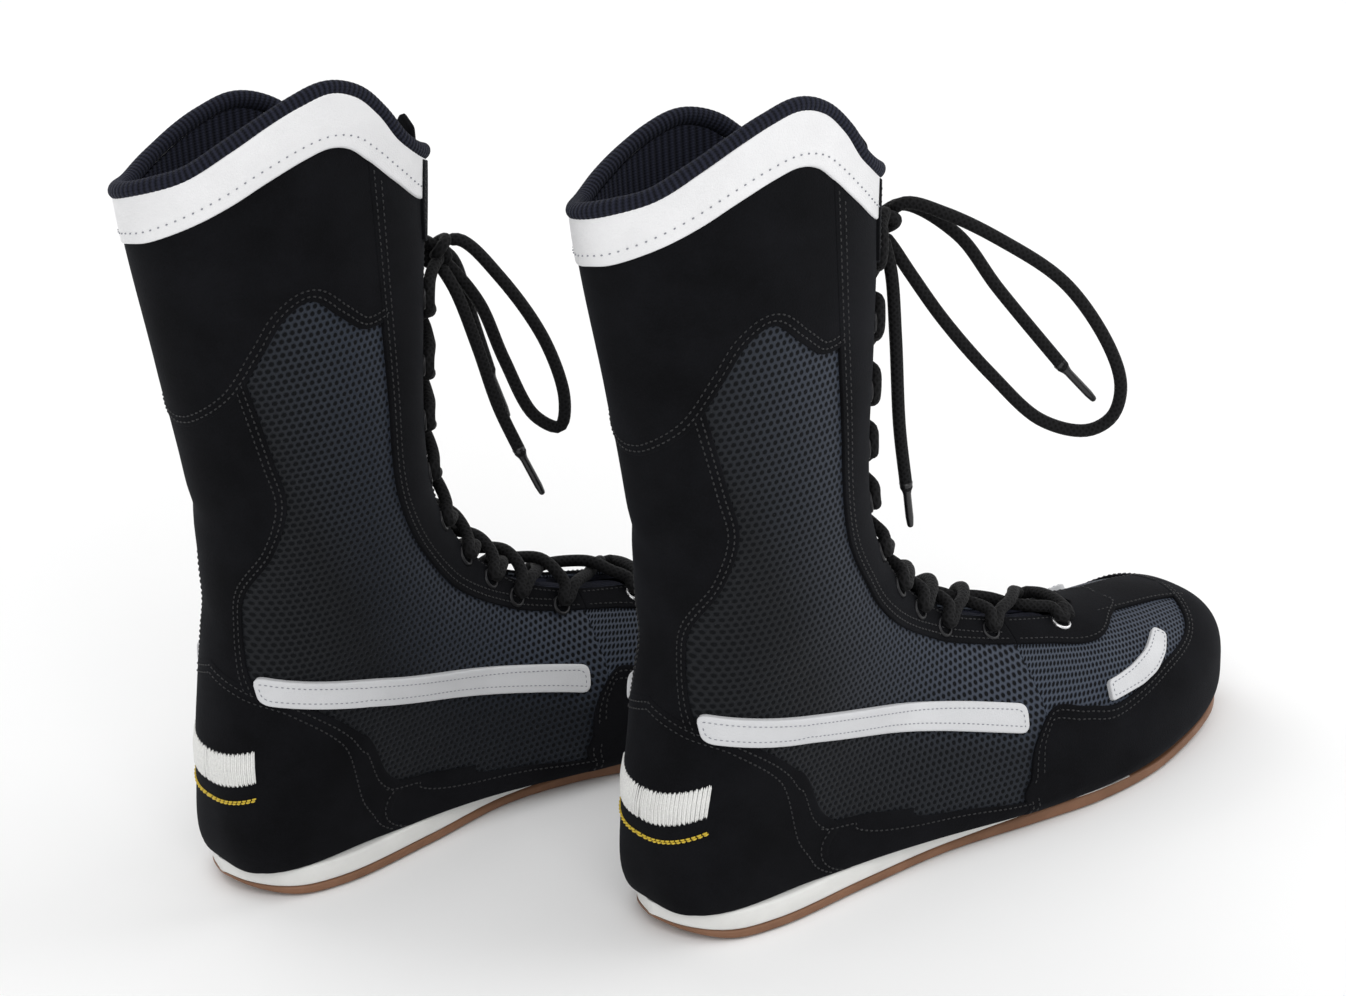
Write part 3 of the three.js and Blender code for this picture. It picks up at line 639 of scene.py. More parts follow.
class Finish:
    """A material being mixed: each call adds a node and hands back its result."""

    def __init__(self, name, **shader):
        self.material = bpy.data.materials.new(name)
        self.material.use_nodes = True
        self.tree = self.material.node_tree
        self.shader = self.tree.nodes["Principled BSDF"]
        for socket, value in shader.items():
            self.shader.inputs[socket.replace("_", " ")].default_value = value

    def add(self, kind, *values, out=0, **settings):
        node = self.tree.nodes.new("ShaderNode" + kind)
        for key, value in settings.items():
            setattr(node, key, value)
        for socket, value in zip(node.inputs, values):
            if isinstance(value, bpy.types.NodeSocket):
                self.tree.links.new(value, socket)
            elif value is not None:
                socket.default_value = value
        return node.outputs[out]

    def math(self, operation, *values):
        return self.add("Math", *values, operation=operation)

    def plus(self, a, b, share=1.0):
        """The sum of a and a share of b."""
        return self.math("ADD", a, b if share == 1 else self.math("MULTIPLY", b, share))

    def vector(self, operation, *values, out=0):
        return self.add("VectorMath", *values, operation=operation, out=out)

    def place(self):
        node = self.tree.nodes.get("Texture Coordinate") or self.tree.nodes.new("ShaderNodeTexCoord")
        return node.outputs["Object"]

    def pattern(self):
        return self.add("UVMap", uv_map="pattern")

    def split(self, vector):
        node = self.tree.nodes.new("ShaderNodeSeparateXYZ")
        self.tree.links.new(vector, node.inputs[0])
        return node.outputs

    def noise(self, scale, detail=3.0):
        node = self.tree.nodes.new("ShaderNodeTexNoise")
        node.inputs["Scale"].default_value = scale
        node.inputs["Detail"].default_value = detail
        node.inputs["Roughness"].default_value = 0.55
        self.tree.links.new(self.place(), node.inputs["Vector"])
        return node.outputs["Fac"]

    def spread(self, value, low, high, to_low=0.0, to_high=1.0):
        node = self.tree.nodes.new("ShaderNodeMapRange")
        for socket, number in zip(node.inputs[1:5], (low, high, to_low, to_high)):
            socket.default_value = number
        self.tree.links.new(value, node.inputs[0])
        return node.outputs[0]

    def mix(self, factor, a, b):
        node = self.tree.nodes.new("ShaderNodeMix")
        node.data_type = "RGBA"
        self.tree.links.new(factor, node.inputs[0])
        for socket, value in ((node.inputs[6], a), (node.inputs[7], b)):
            if isinstance(value, bpy.types.NodeSocket):
                self.tree.links.new(value, socket)
            else:
                socket.default_value = (*value, 1) if len(value) == 3 else value
        return node.outputs[2]

    def bump(self, height, distance, strength=1.0):
        node = self.tree.nodes.new("ShaderNodeBump")
        node.inputs["Strength"].default_value = strength
        node.inputs["Distance"].default_value = distance
        self.tree.links.new(height, node.inputs["Height"])
        self.tree.links.new(node.outputs[0], self.shader.inputs["Normal"])

    def colour(self, value):
        self.tree.links.new(value, self.shader.inputs["Base Color"])

    def roughness(self, value):
        self.tree.links.new(value, self.shader.inputs["Roughness"])


def times(colour, factor):
    return tuple(min(1.0, c * factor) for c in colour)


def suede_finish():
    black = tuple(colours().suede)
    f = Finish("black suede", Sheen_Weight=0.02, Sheen_Roughness=0.5, Specular_IOR_Level=0.08,
               Sheen_Tint=(0.7, 0.75, 0.9, 1))
    nap, brushed = f.noise(1600, 4), f.noise(38, 3)
    f.colour(f.mix(f.spread(f.math("ADD", nap, brushed), 0.8, 1.3), times(black, 0.6), times(black, 1.7)))
    f.roughness(f.spread(nap, 0.3, 0.7, 0.85, 1.0))
    f.bump(f.plus(nap, brushed, 0.8), 0.0004, 0.55)
    return f.material


def mesh_finish(name, painted_shading):
    """Spacer mesh: staggered round holes through a knitted face. When asked, the threads carry painted light and shade:
    lit towards the front, and darkened with painted shade towards the heel and the sole.
    """
    thread = tuple(colours().cloth)
    f = Finish(name, Sheen_Weight=0.03, Sheen_Roughness=0.4, Specular_IOR_Level=0.2, Sheen_Tint=(0.62, 0.72, 1, 1))
    pitch = (0.0027, 0.00235)
    size = (pitch[0], pitch[1] * 2, 1)
    uv = f.vector("DIVIDE", f.pattern(), size)
    gaps = []
    for shift in (0.0, 0.5):
        cell = f.vector("SUBTRACT", f.vector("FRACTION", f.vector("ADD", uv, (shift, shift, 0))), (0.5, 0.5, 0))
        gaps.append(f.vector("LENGTH", f.vector("MULTIPLY", cell, size), out=1))
    gap = f.math("MINIMUM", *gaps)
    face = f.spread(gap, 0.00062, 0.00108)
    fibre = f.noise(2600, 2)
    weave = times(thread, 1.15)
    if painted_shading:
        # Painted shade: the threads darken towards the heel and low down near the sole, and stay lit towards the front.
        x, z = f.split(f.pattern())[:2]
        ahead = f.spread(f.plus(f.plus(x, z, 0.35), f.noise(30, 2), 0.012), 0.098, 0.172)
        above = f.spread(f.plus(z, x, 0.31), 0.080, 0.098, 0.22, 1.0)
        weave = f.mix(f.math("MULTIPLY", ahead, above), times(thread, 0.10), times(thread, 1.05))
    f.colour(f.mix(face, times(thread, 0.05), weave))
    f.roughness(f.spread(face, 0, 1, 0.95, 0.5))
    f.bump(f.plus(face, fibre, 0.12), 0.0006, 0.9)
    return f.material


def leather_finish(name, white):
    f = Finish(name, Roughness=0.42, Specular_IOR_Level=0.4, Coat_Weight=0.06, Coat_Roughness=0.3)
    grain = f.tree.nodes.new("ShaderNodeTexVoronoi")
    grain.feature = "DISTANCE_TO_EDGE"
    grain.inputs["Scale"].default_value = 950
    f.tree.links.new(f.place(), grain.inputs["Vector"])
    pores = f.spread(grain.outputs["Distance"], 0.0, 0.18)
    soil = f.noise(55, 4)
    f.colour(f.mix(f.spread(soil, 0.35, 0.75), white, times(white, 0.93)))
    f.roughness(f.spread(soil, 0.3, 0.7, 0.38, 0.5))
    f.bump(f.math("ADD", f.math("MULTIPLY", pores, 0.5), f.math("MULTIPLY", soil, 1.6)), 0.00022, 0.5)
    return f.material


def knit_finish():
    """Ribbed knit: wales run across the collar, with small stitches along each."""
    dark = tuple(colours().knit)
    f = Finish("collar knit", Sheen_Weight=0.03, Sheen_Roughness=0.4, Specular_IOR_Level=0.12,
               Sheen_Tint=(0.7, 0.75, 1, 1))
    x, y = f.split(f.pattern())[:2]
    wale = f.math("SINE", f.math("MULTIPLY", y, 2 * math.pi / 0.0021))
    loop = f.math("SINE", f.plus(f.math("MULTIPLY", x, 2 * math.pi / 0.0011), f.math("ABSOLUTE", wale), 1.6))
    fuzz = f.noise(900, 3)
    high = f.plus(wale, loop, 0.35)
    f.colour(f.mix(f.spread(high, -1.2, 1.1), times(dark, 0.35), times(dark, 2.0)))
    f.roughness(f.spread(fuzz, 0.3, 0.7, 0.75, 0.95))
    f.bump(f.plus(high, fuzz, 0.6), 0.0004, 0.6)
    return f.material


def braid_finish(name, base, strands=12, pitch=0.0024, lift=0.00014):
    """Braided cord: two sets of strands that cross each other round the cord."""
    f = Finish(name, Sheen_Weight=0.02, Sheen_Roughness=0.4, Specular_IOR_Level=0.15)
    x, y = f.split(f.pattern())[:2]
    across = f.math("MULTIPLY", x, strands / (sizes().lace / 2) / 2)
    along = f.math("MULTIPLY", y, 2 * math.pi / pitch)
    high = f.math("MAXIMUM", *(f.math("SINE", f.math(way, across, along)) for way in ("ADD", "SUBTRACT")))
    fibre = f.noise(2200, 2)
    f.colour(f.mix(f.spread(high, -0.4, 1), times(base, 0.4), times(base, 1.8)))
    f.roughness(f.spread(fibre, 0.3, 0.7, 0.65, 0.85))
    f.bump(f.plus(high, fibre, 0.4), lift, 0.7)
    return f.material


def foam_finish():
    white = tuple(colours().foam)
    f = Finish("midsole foam", Specular_IOR_Level=0.35)
    cells, soil = f.noise(1500, 3), f.noise(70, 4)
    low = f.spread(f.plus(f.split(f.place())[2], soil, 0.004), 0.003, 0.011, 0.86, 1.0)
    tone = f.mix(f.spread(soil, 0.3, 0.75), white, times(white, 0.9))
    f.colour(f.mix(low, times(white, 0.72), tone))
    f.roughness(f.spread(cells, 0.3, 0.7, 0.5, 0.7))
    f.bump(f.math("ADD", cells, soil), 0.0002, 0.4)
    return f.material


def gum_finish():
    gum = tuple(colours().gum)
    f = Finish("gum rubber", Specular_IOR_Level=0.4)
    grain, scuff = f.noise(1300, 3), f.noise(60, 4)
    f.colour(f.mix(f.spread(scuff, 0.3, 0.75), gum, times(gum, 0.7)))
    f.roughness(f.spread(scuff, 0.3, 0.7, 0.45, 0.7))
    f.bump(f.math("ADD", grain, scuff), 0.0002, 0.4)
    return f.material


def thread_finish(name, base):
    f = Finish(name, Sheen_Weight=0.2, Sheen_Roughness=0.3, Specular_IOR_Level=0.45)
    fibre = f.noise(3200, 2)
    f.colour(f.mix(f.spread(fibre, 0.3, 0.7), times(base, 0.75), times(base, 1.15)))
    f.roughness(f.spread(fibre, 0.3, 0.7, 0.5, 0.7))
    f.bump(fibre, 0.00015, 0.5)
    return f.material


def hard_finish(name, base, roughness, metal=0.0):
    f = Finish(name, Metallic=metal, Specular_IOR_Level=0.5)
    scratch = f.noise(900, 3)
    f.colour(f.mix(f.spread(scratch, 0.3, 0.7), times(base, 0.8), base))
    f.roughness(f.spread(scratch, 0.3, 0.7, roughness * 0.8, roughness * 1.2))
    f.bump(scratch, 0.00005, 0.3)
    return f.material


FINISHES = {}


def finish(name):
    if not FINISHES:
        c = colours()
        FINISHES.update(
            # The quarters' mesh cloth has painted shade towards the heel and the sole; the toe's has none.
            suede=suede_finish(), mesh=mesh_finish("mesh cloth", True), toe_mesh=mesh_finish("toe mesh cloth", False),
            knit=knit_finish(), leather=leather_finish("white leather", tuple(c.leather)),
            trim=leather_finish("white trim", tuple(c.trim)), lace=braid_finish("braided lace", tuple(c.lace)),
            foam=foam_finish(), gum=gum_finish(), tip=hard_finish("lace tip", (0.008, 0.008, 0.009), 0.3),
            eyelet=hard_finish("eyelet", (0.02, 0.02, 0.022), 0.35, 0.6),
            bright=hard_finish("bright eyelet", (0.75, 0.75, 0.76), 0.25, 0.9))
        for tone in ("grey", "dark", "white", "yellow"):
            FINISHES[tone] = thread_finish(tone + " thread", tuple(getattr(c, tone + "_thread")))
    return FINISHES[name]


# ---------------------------------------------------------------- the stage

CAMERA_PLACE = (-0.78339, -1.10059, 0.72363)
CAMERA_AIM = (-0.03126, -0.02001, 0.14031)
CAMERA_ROLL = -3.954
LENS = 103.70


def area_light(name, place, aim, size, power):
    deselect()
    bpy.ops.object.light_add(type="AREA", location=place)
    light = bpy.context.object
    light.name = name
    light.data.size = size
    light.data.energy = power
    light.rotation_euler = (Vector(aim) - Vector(place)).to_track_quat("-Z", "Y").to_euler()


class BOOTS_OT_stage(bpy.types.Operator):
    """Sets up the camera, the pale floor and the soft light"""
    bl_idname = "boots.stage"
    bl_label = "Stage"

    def execute(self, context):
        deselect()
        aim = (Vector(CAMERA_AIM) - Vector(CAMERA_PLACE)).to_track_quat("-Z", "Y")
        bpy.ops.object.camera_add(location=CAMERA_PLACE)
        camera = context.object
        camera.rotation_euler = (aim.to_matrix() @ Matrix.Rotation(math.radians(CAMERA_ROLL), 3, "Z")).to_euler()
        camera.data.lens = LENS
        camera.data.sensor_width = 36
        context.scene.camera = camera
        context.scene.view_settings.view_transform = "Standard"
        deselect()
        bpy.ops.mesh.primitive_plane_add(size=8, location=(0, 0, -0.0006))
        floor = context.object
        floor.name = "floor"
        paper = Finish("pale floor", Roughness=0.9, Specular_IOR_Level=0.1)
        fibre = paper.noise(6, 3)
        paper.colour(paper.mix(paper.spread(fibre, 0.3, 0.7), (0.90, 0.90, 0.90), (0.91, 0.91, 0.91)))
        floor.data.materials.append(paper.material)
        world = context.scene.world or bpy.data.worlds.new("World")
        context.scene.world = world
        world.use_nodes = True
        background = world.node_tree.nodes["Background"]
        background.inputs["Color"].default_value = (1, 1, 1, 1)
        background.inputs["Strength"].default_value = 0.8
        area_light("window", (-0.9, -1.5, 1.7), (0, 0, 0.15), 1.6, 16)
        area_light("fill", (1.6, -0.7, 1.3), (0, 0, 0.15), 1.6, 12)
        area_light("back", (-0.2, 1.9, 1.5), (0, 0, 0.1), 1.6, 10)
        return {"FINISHED"}


# ---------------------------------------------------------------- free laces

KNOTS = {"right": (125, 0, 244), "left": (124, 0, 226)}
FREE_LACES = {
    "right": {
        "loop": [(126, 0, 246), (133, -5, 251), (143, -15, 247), (158, -28, 236), (176, -42, 218), (188, -52, 192),
                 (191, -54, 176), (188, -52, 165), (181, -46, 160), (168, -36, 165), (154, -25, 184), (141, -15, 206),
                 (133, -7, 224), (128, -2, 236), (125, 0, 241)],
        "end_a": [(127, 4, 245), (137, 1, 248), (151, -12, 236), (161, -22, 215), (179, -36, 183), (188, -43, 169)],
        "end_b": [(123, -4, 241), (123, -8, 228), (123, -9, 203), (123, -9, 168), (125, -9, 143), (127, -8, 126)],
    },
    "left": {
        "loop": [(125, 0, 228), (132, -5, 229), (142, -15, 214), (154, -24, 187), (158, -28, 163), (156, -26, 152),
                 (149, -20, 157), (142, -13, 180), (136, -9, 203), (129, -4, 217), (125, 0, 223)],
        "end_a": [(122, -4, 223), (125, -10, 212), (130, -14, 189), (135, -17, 164), (140, -22, 145), (146, -26, 127)],
        "end_b": [(127, 4, 226), (134, 4, 218), (138, 1, 195), (142, -2, 172), (146, -6, 153)],
    },
}


def free_of_knot(path, knot, reach):
    """The part of a free lace outside its knot."""
    size = np.array([7, 10, 8.0]) * reach
    out = np.linalg.norm((path - np.array(knot)) / size, axis=1) > 1
    first = out.argmax()
    last = len(out) - out[::-1].argmax()
    return path[first:last]


class BOOTS_OT_free_laces(bpy.types.Operator):
    """Lays the bow's loop and the two lace ends of each boot"""
    bl_idname = "boots.free_laces"
    bl_label = "Free laces"

    def execute(self, context):
        thick = sizes().lace / MM
        for side in SIDES:
            shift = np.array(boot_origin(side)) / MM
            for name, route in FREE_LACES[side].items():
                if name == "loop":
                    path = free_of_knot(spline(route, 2.0), KNOTS[side], 0.82)
                else:
                    tip, joint = np.array(route[-1], float), np.array(route[-2], float)
                    path = free_of_knot(spline(route[:-1], 2.0), KNOTS[side], 0.82)
                    line = (tip - joint) / np.linalg.norm(tip - joint)
                    centre = np.concatenate([joint + line * np.array([[-3.0], [-2.0], [0.0], [2.0]]),
                                             even(np.array([joint + line * 3, tip - line * 0.8]), 3.0)])
                    radius = np.array([1.9, 2.55, 2.3, 1.7] + [1.5] * (len(centre) - 5) + [1.2])
                    tip_obj = new_object(side + "_lace_tip_" + name[-1], *tube(centre + shift, radius, 14))
                    tidy_mesh(tip_obj)
                    wear(tip_obj, finish("tip"), "shaft", side)
                lace = new_object(side + "_free_" + name, *tube(path + shift, thick / 2, 16))
                tidy_mesh(lace, smooth=60)
                wear(lace, finish("lace"), "shaft", side, ["lace_" + name])
        return {"FINISHED"}


# ---------------------------------------------------------------- the upper's pattern

def at_front(y, z):
    return (FRONT, y, z)


# Half the lacing slot's width; where the upper divides for the ball's bend, and how high that is at the slot;
# where the slot ends at the toe; from the sole to the upper's edge.
SLOT, SPLIT, SPLIT_TOP, SLOT_END, HEM_GAP = 9.0, 168, 77.6, 66.5, 0.35
# Top and underside of a layer, from the last's surface.
CLOTH, LINING = (-1.0, -2.0), (-2.3, -4.1)
# The inner and outer row of stitches along a suede edge.
ROW_A, ROW_B = 1.8, 4.0
RIM = [(119, 262), (106, 265), (95, 272), (85, 284), (75, 293), (64, 297), (52, 295), (40, 291), (26, 285), (12, 279),
       (2, 278)]
BAND = [(104, 252), (90, 262), (78, 272), (70, 278), (62, 280), (52, 278.5), (37, 274), (24, 269), (12, 265), (1, 262)]
SHAFT_EDGE = [(79, 215), (69, 215), (59, 222), (48, 230), (38, 226), (30, 216), (19, 200), (10, 190.5)]
EYESTAY_BACK = [(78, 275), (78, 250), (78, 225), (78, 186), (79, 149), (94, 115), (128, 83), (155, 71), (SPLIT, 67.3)]
EYESTAY_LOW = [(SPLIT, 67.3), (181, 64), (207, 59), (219, 61)]
COUNTER = [(13, 88), (28, 80), (51, 61), (69, 32), (74.5, 10)]
ANKLE = [(23, 208), (30, 176), (33, 158), (27, 139), (17, 119), (15, 96), (16, 84)]
CAP = [(150.6, 4), (152, 12), (159, 35), (170, 45), (186, 42), (200, 39), (225, 44), (250, 49), (261, 55)]


def wrap(points, back_height):
    """An edge from its lateral start round the back to its medial start."""
    lateral, medial = (chain(points + [(BACK, back_height)], sign, behind=True) for sign in (-1, 1))
    return np.vstack([lateral, medial[::-1][1:]])


def wrap_back(front_height, points, back_height):
    """An edge from the lateral slot round the back to the medial slot."""
    return wrap([at_front(SLOT, front_height)] + points, back_height)


def slot_line(z_from, z_to, sign, behind=False, y=SLOT):
    heights = np.linspace(z_from, z_to, 24)
    return chain([at_front(y, z) for z in heights], sign, behind, smooth=False)


def rounded(corners, radius, step=0.9):
    """A closed side-view outline with its corners rounded."""
    corners = np.asarray(corners, float)
    out = []
    for before, corner, after in zip(np.roll(corners, 1, 0), corners, np.roll(corners, -1, 0)):
        a, b = before - corner, after - corner
        reach = min(radius, 0.45 * np.linalg.norm(a), 0.45 * np.linalg.norm(b))
        a, b = corner + a / np.linalg.norm(a) * reach, corner + b / np.linalg.norm(b) * reach
        for t in np.linspace(0, 1, 6):
            out.append((1 - t) ** 2 * a + 2 * t * (1 - t) * corner + t * t * b)
    out.append(out[0])
    return even(np.array(out), step)


def on_sole(x):
    """The upper's lower edge at x."""
    return (float(x), float(sole_top(x)) + HEM_GAP)


def sole_line(x0, x1, sign):
    xs = np.linspace(x0, x1, max(6, int(abs(x1 - x0) / 4)))
    return chain([(float(x), float(sole_top(x) - hem_drop(x)) + HEM_GAP) for x in xs], sign, smooth=False)


def under_sole(x):
    """The sole line from x on the lateral side, round the heel, to x on the medial side."""
    points = [on_sole(v) for v in np.linspace(x, 9, max(6, int(x / 5)))] + [(BACK, 12.0)]
    lateral, medial = (chain(points, sign, behind=True, smooth=False) for sign in (-1, 1))
    return np.vstack([lateral, medial[::-1][1:]])


def split_line(sign, behind=False):
    points = [at_front(SLOT, SPLIT_TOP), (SPLIT, 74), (SPLIT, 67.3), (SPLIT, 50), (SPLIT, 30), on_sole(SPLIT)]
    return chain(points, sign, behind, smooth=False)


def throat_line(slots):
    """The lower end of the lacing slot, from one of its sides to the other."""
    return spline(np.array([slots[0][-1], chart(at_front(0.01, 64.9), -1), slots[1][-1]]), 1.2)


def across(y, top, bottom):
    """The closed edges of a panel over the middle of the foot, y wide to each side."""
    sides = [slot_line(top, bottom, sign, y=y) for sign in (-1, 1)]
    ends = [even(np.array([sides[0][k], sides[1][k]]), 1.3) for k in (0, -1)]
    return [ends[0], sides[1], ends[1][::-1], sides[0][::-1]]


TOE_END = 14.0


def nose_edges(x0):
    """From x on the lateral sole line, under the toe and back to x on the medial one.

    The middle three of these edges meet themselves."""
    under = lambda u, sign: [run_of(u), sign * math.pi * GIRTH]
    out = [even(np.vstack([sole_line(x0, 274, s), [under(TOE_END, s)]]), 1.3) for s in (-1, 1)]
    seam = [even(np.array([under(TOE_END, s), under(NOSE, s)]), 1.5) for s in (-1, 1)]
    pole = even(np.array([under(NOSE, -1), under(NOSE, 1)]), 4.0)
    return [out[0], seam[0], pole, seam[1][::-1], out[1][::-1]]


def cut_and_sew(name, edges, top, under, cloth, motion, nodes=(), slot=None, rows=(), free=(), rim=0.45, step=None,
                merge=0.00002, level=False):
    """Cuts a panel to its edges, and sews rows of stitches along some: (edge, inset, thread, length, pitch, radius).

    The cloth of a level one runs straight as seen from the side."""
    shape = panel(edges, top, under, rim, free, step)
    if level:
        shape = (shape[0], shape[1], np.asarray(shape[0])[:, [0, 2]])
    sew(name, shape, finish(cloth), motion, nodes, merge)
    outline = closed(*edges)
    by_thread = {}
    for edge, inset, thread, *stitch in rows:
        by_thread.setdefault(thread, []).extend(stitch_row(edges[edge], top, inset, *stitch, side_of=outline))
    for thread, strands in by_thread.items():
        if strands:
            sew(name + "_" + thread + "_stitches", threads(strands), finish(thread), motion, smooth=60)


class BOOTS_OT_mesh_upper(bpy.types.Operator):
    """Cuts the mesh cloth of the quarters and the toe"""
    bl_idname = "boots.mesh_upper"
    bl_label = "Mesh cloth"

    def execute(self, context):
        for sign, name in ((-1, "lateral"), (1, "medial")):
            edges = [
                slot_line(247, SPLIT_TOP, sign),
                split_line(sign),
                sole_line(SPLIT, 9, sign),
                chain([(BACK, z) for z in np.linspace(12, 247, 40)], sign, smooth=False),
                chain([(BACK, 247), (20, 254), (58, 266), (88, 256), at_front(SLOT, 247)], sign),
            ]
            cut_and_sew("mesh_quarter_" + name, edges, *CLOTH, "mesh", "ankle", ["quarter_" + name], "mesh_cloth",
                        rim=0.3, level=True)
        end = 12.9
        theta = sole_angle(end)
        front = even(np.array([[run_of(end), -theta[0][0] * GIRTH], [run_of(end), theta[1][0] * GIRTH]]), 1.3)
        halves = [(slot_line(SPLIT_TOP, SLOT_END, s), split_line(s), sole_line(SPLIT, 262, s)) for s in (-1, 1)]
        ends = np.array([halves[0][0][-1], chart(at_front(0.01, 64.9), -1), halves[1][0][-1]])
        edges = [halves[0][2], front, halves[1][2][::-1], halves[1][1][::-1], halves[1][0], spline(ends, 1.2)[::-1],
                 halves[0][0][::-1], halves[0][1]]
        cut_and_sew("mesh_toe", edges, *CLOTH, "toe_mesh", "ball", ["toe_mesh_lateral", "toe_mesh_medial"], "mesh_cloth",
                    rim=0.3)
        return {"FINISHED"}


class BOOTS_OT_suede(bpy.types.Operator):
    """Cuts and sews the suede panels"""
    bl_idname = "boots.suede"
    bl_label = "Suede panels"

    def execute(self, context):
        counter = wrap([on_sole(74.5)] + COUNTER[::-1][1:], 94)
        edges = [counter, under_sole(74.5)[::-1]]
        cut_and_sew("counter", edges, 0.12, -1.0, "suede", "ankle", ["heel_counter"], "black_suede",
                    [(0, ROW_A, "dark"), (0, ROW_B, "dark")])
        front = [chain(ANKLE + [(15.5, 80)], s, behind=True) for s in (-1, 1)]
        top = wrap([(23, 208), (14, 209)], 209)
        bottom = wrap([(15.5, 80), (12, 80)], 80)
        edges = [top, front[1], bottom[::-1], front[0][::-1]]
        cut_and_sew("ankle_back", edges, -0.15, -1.0, "suede", "ankle", ["ankle_panel"], "black_suede",
                    [(1, ROW_A, "dark"), (3, ROW_A, "dark"), (1, ROW_B, "dark"), (3, ROW_B, "dark")])
        top = wrap([(84, 270), (78, 275.5), (70, 281), (62, 283), (52, 281.5), (37, 277), (24, 272), (12, 268),
                    (2, 265.5)], 265)
        bottom = wrap([(84, 216.5)] + SHAFT_EDGE, 189)
        sides = [chain([(84, 270), (84, 245), (84, 216.5)], s, behind=True) for s in (-1, 1)]
        cut_and_sew("shaft_suede", [top, sides[1], bottom[::-1], sides[0][::-1]], 0.12, -1.0, "suede", "shaft",
                    ["shaft_panel"], "black_suede", [(2, ROW_A, "dark"), (2, ROW_B, "dark")])
        for sign, name in ((-1, "lateral"), (1, "medial")):
            cross = chain([at_front(SLOT, SPLIT_TOP), (SPLIT, 74), (SPLIT, 67.3)], sign, smooth=False)
            back = chain(EYESTAY_BACK, sign)
            head = chain([(78, 275), (84, 270), (91, 264.5), (104, 255), at_front(SLOT, 252)], sign)
            slot = slot_line(252, SPLIT_TOP, sign)
            cut_and_sew("eyestay_" + name + "_suede", [head, slot, cross, back[::-1]], 0.3, -1.0, "suede", "ankle",
                        ["eyestay_" + name], "black_suede", [(1, 2.0, "dark"), (3, 1.8, "dark"), (3, 4.2, "dark")])
            facing = [chain([at_front(SLOT, 263), at_front(15, 263.5), (109, 265)], sign),
                      chain([(109, 265), (107.5, 256), (106.5, 245), (107, 236)], sign),
                      chain([(107, 236), at_front(15, 234), at_front(SLOT, 234)], sign), slot_line(234, 263, sign)]
            cut_and_sew("facing_" + name, facing, 1.5, -1.0, "suede", "shaft", (), "black_suede", [(1, 1.6, "dark")])
            top = chain([(60, 38), (75, 32), (105, 23), (130, 18), (150, 14), (157, 13)], sign)
            end = chain([(157, 13), on_sole(157)], sign, smooth=False)
            bottom = sole_line(157, 60, sign)
            start = chain([on_sole(60), (60, 38)], sign, smooth=False)
            cut_and_sew("rand_" + name + "_suede", [top, end, bottom, start], 0.0, -1.0, "suede", "foot",
                        ["rand_" + name], "black_suede", [(0, 1.6, "dark")])
        cross = [chain([at_front(SLOT, SPLIT_TOP), (SPLIT, 74), (SPLIT, 67.3)], s, smooth=False) for s in (-1, 1)]
        low = [chain(EYESTAY_LOW + [at_front(8, 61.9), at_front(0.01, 62.2)], s) for s in (-1, 1)]
        slots = [slot_line(SPLIT_TOP, SLOT_END, s) for s in (-1, 1)]
        throat = throat_line(slots)
        edges = [low[0], low[1][::-1], cross[1][::-1], slots[1], throat[::-1], slots[0][::-1], cross[0]]
        cut_and_sew("eyestay_toe_suede", edges, 0.3, -1.0, "suede", "ball", (), "black_suede",
                    [(0, 1.8, "dark"), (1, 1.8, "dark"), (3, 2.0, "dark"), (5, 2.0, "dark")])
        start = on_sole(150.6)
        cap = [chain([start] + CAP[1:] + [at_front(0.01, 54.4)], s) for s in (-1, 1)]
        nose = nose_edges(150.6)
        edges = [cap[0], cap[1][::-1]] + [edge[::-1] for edge in nose[::-1]]
        cut_and_sew("toe_cap_suede", edges, 0.2, -1.0, "suede", "ball", ["toe_cap"], "black_suede",
                    [(0, ROW_A, "dark"), (1, ROW_A, "dark"), (0, 4.2, "dark"), (1, 4.2, "dark")], free=(3, 4, 5),
                    merge=0.00006)
        cut_and_sew("toe_strip_suede", across(13, 64.5, 53.0), 0.05, -1.0, "suede", "ball", ["toe_strip"],
                    "black_suede", [(1, 1.5, "dark"), (3, 1.5, "dark")])
        return {"FINISHED"}


SIDE_BAND = [(16, 92), (60, 80.5), (110, 65), (160, 49.5), (157, 39.5), (107, 55), (57, 70.5), (16.5, 81)]
TOE_BAR = [(196, 40.5), (204, 41), (213, 41.6), (222, 43.5), (230, 47), (236, 51.5), (231.5, 54.6), (222, 51),
           (212, 48.8), (204, 47.8), (197.5, 47.3)]


class BOOTS_OT_leather(bpy.types.Operator):
    """Cuts and sews the white leather trim and the collar band"""
    bl_idname = "boots.leather"
    bl_label = "Leather trim"

    def execute(self, context):
        top = 0.3 + sizes().trim / MM
        trims = (("side_band_", SIDE_BAND, 3.5, "ankle", "stripe_", 1.8),
                 ("toe_bar_", TOE_BAR, 1.6, "ball", "toe_flash_", 1.6))
        for sign, side in ((-1, "lateral"), (1, "medial")):
            for name, outline, corner, motion, node, inset in trims:
                edge = chain([tuple(p) for p in rounded(outline, corner)], sign, smooth=False)
                cut_and_sew(name + side, [edge], top, -0.9, "trim", motion, [node + side], "white_leather",
                            [(0, inset, "grey", 1.3, 2.1, 0.2)], rim=0.6, step=2.0)
        upper = wrap_back(264.5, [(x, z + 3) for x, z in RIM[1:]], 281)
        lower = wrap_back(249, BAND, 262)
        sides = [slot_line(264.5, 249, s, behind=True) for s in (-1, 1)]
        edges = [upper, sides[1], lower[::-1], sides[0][::-1]]
        cut_and_sew("collar_band_leather", edges, 0.95, -1.9, "leather", "shaft", ["collar_band"], "white_leather", [(2, 4.3, "grey", 1.0, 3.4, 0.35)], rim=0.7)
        return {"FINISHED"}


def front_angle(u, y):
    k = section(u)
    half = k[5] if y < 0 else k[6]
    return math.copysign(math.asin((abs(y) / half) ** (1 / k[8])), y)


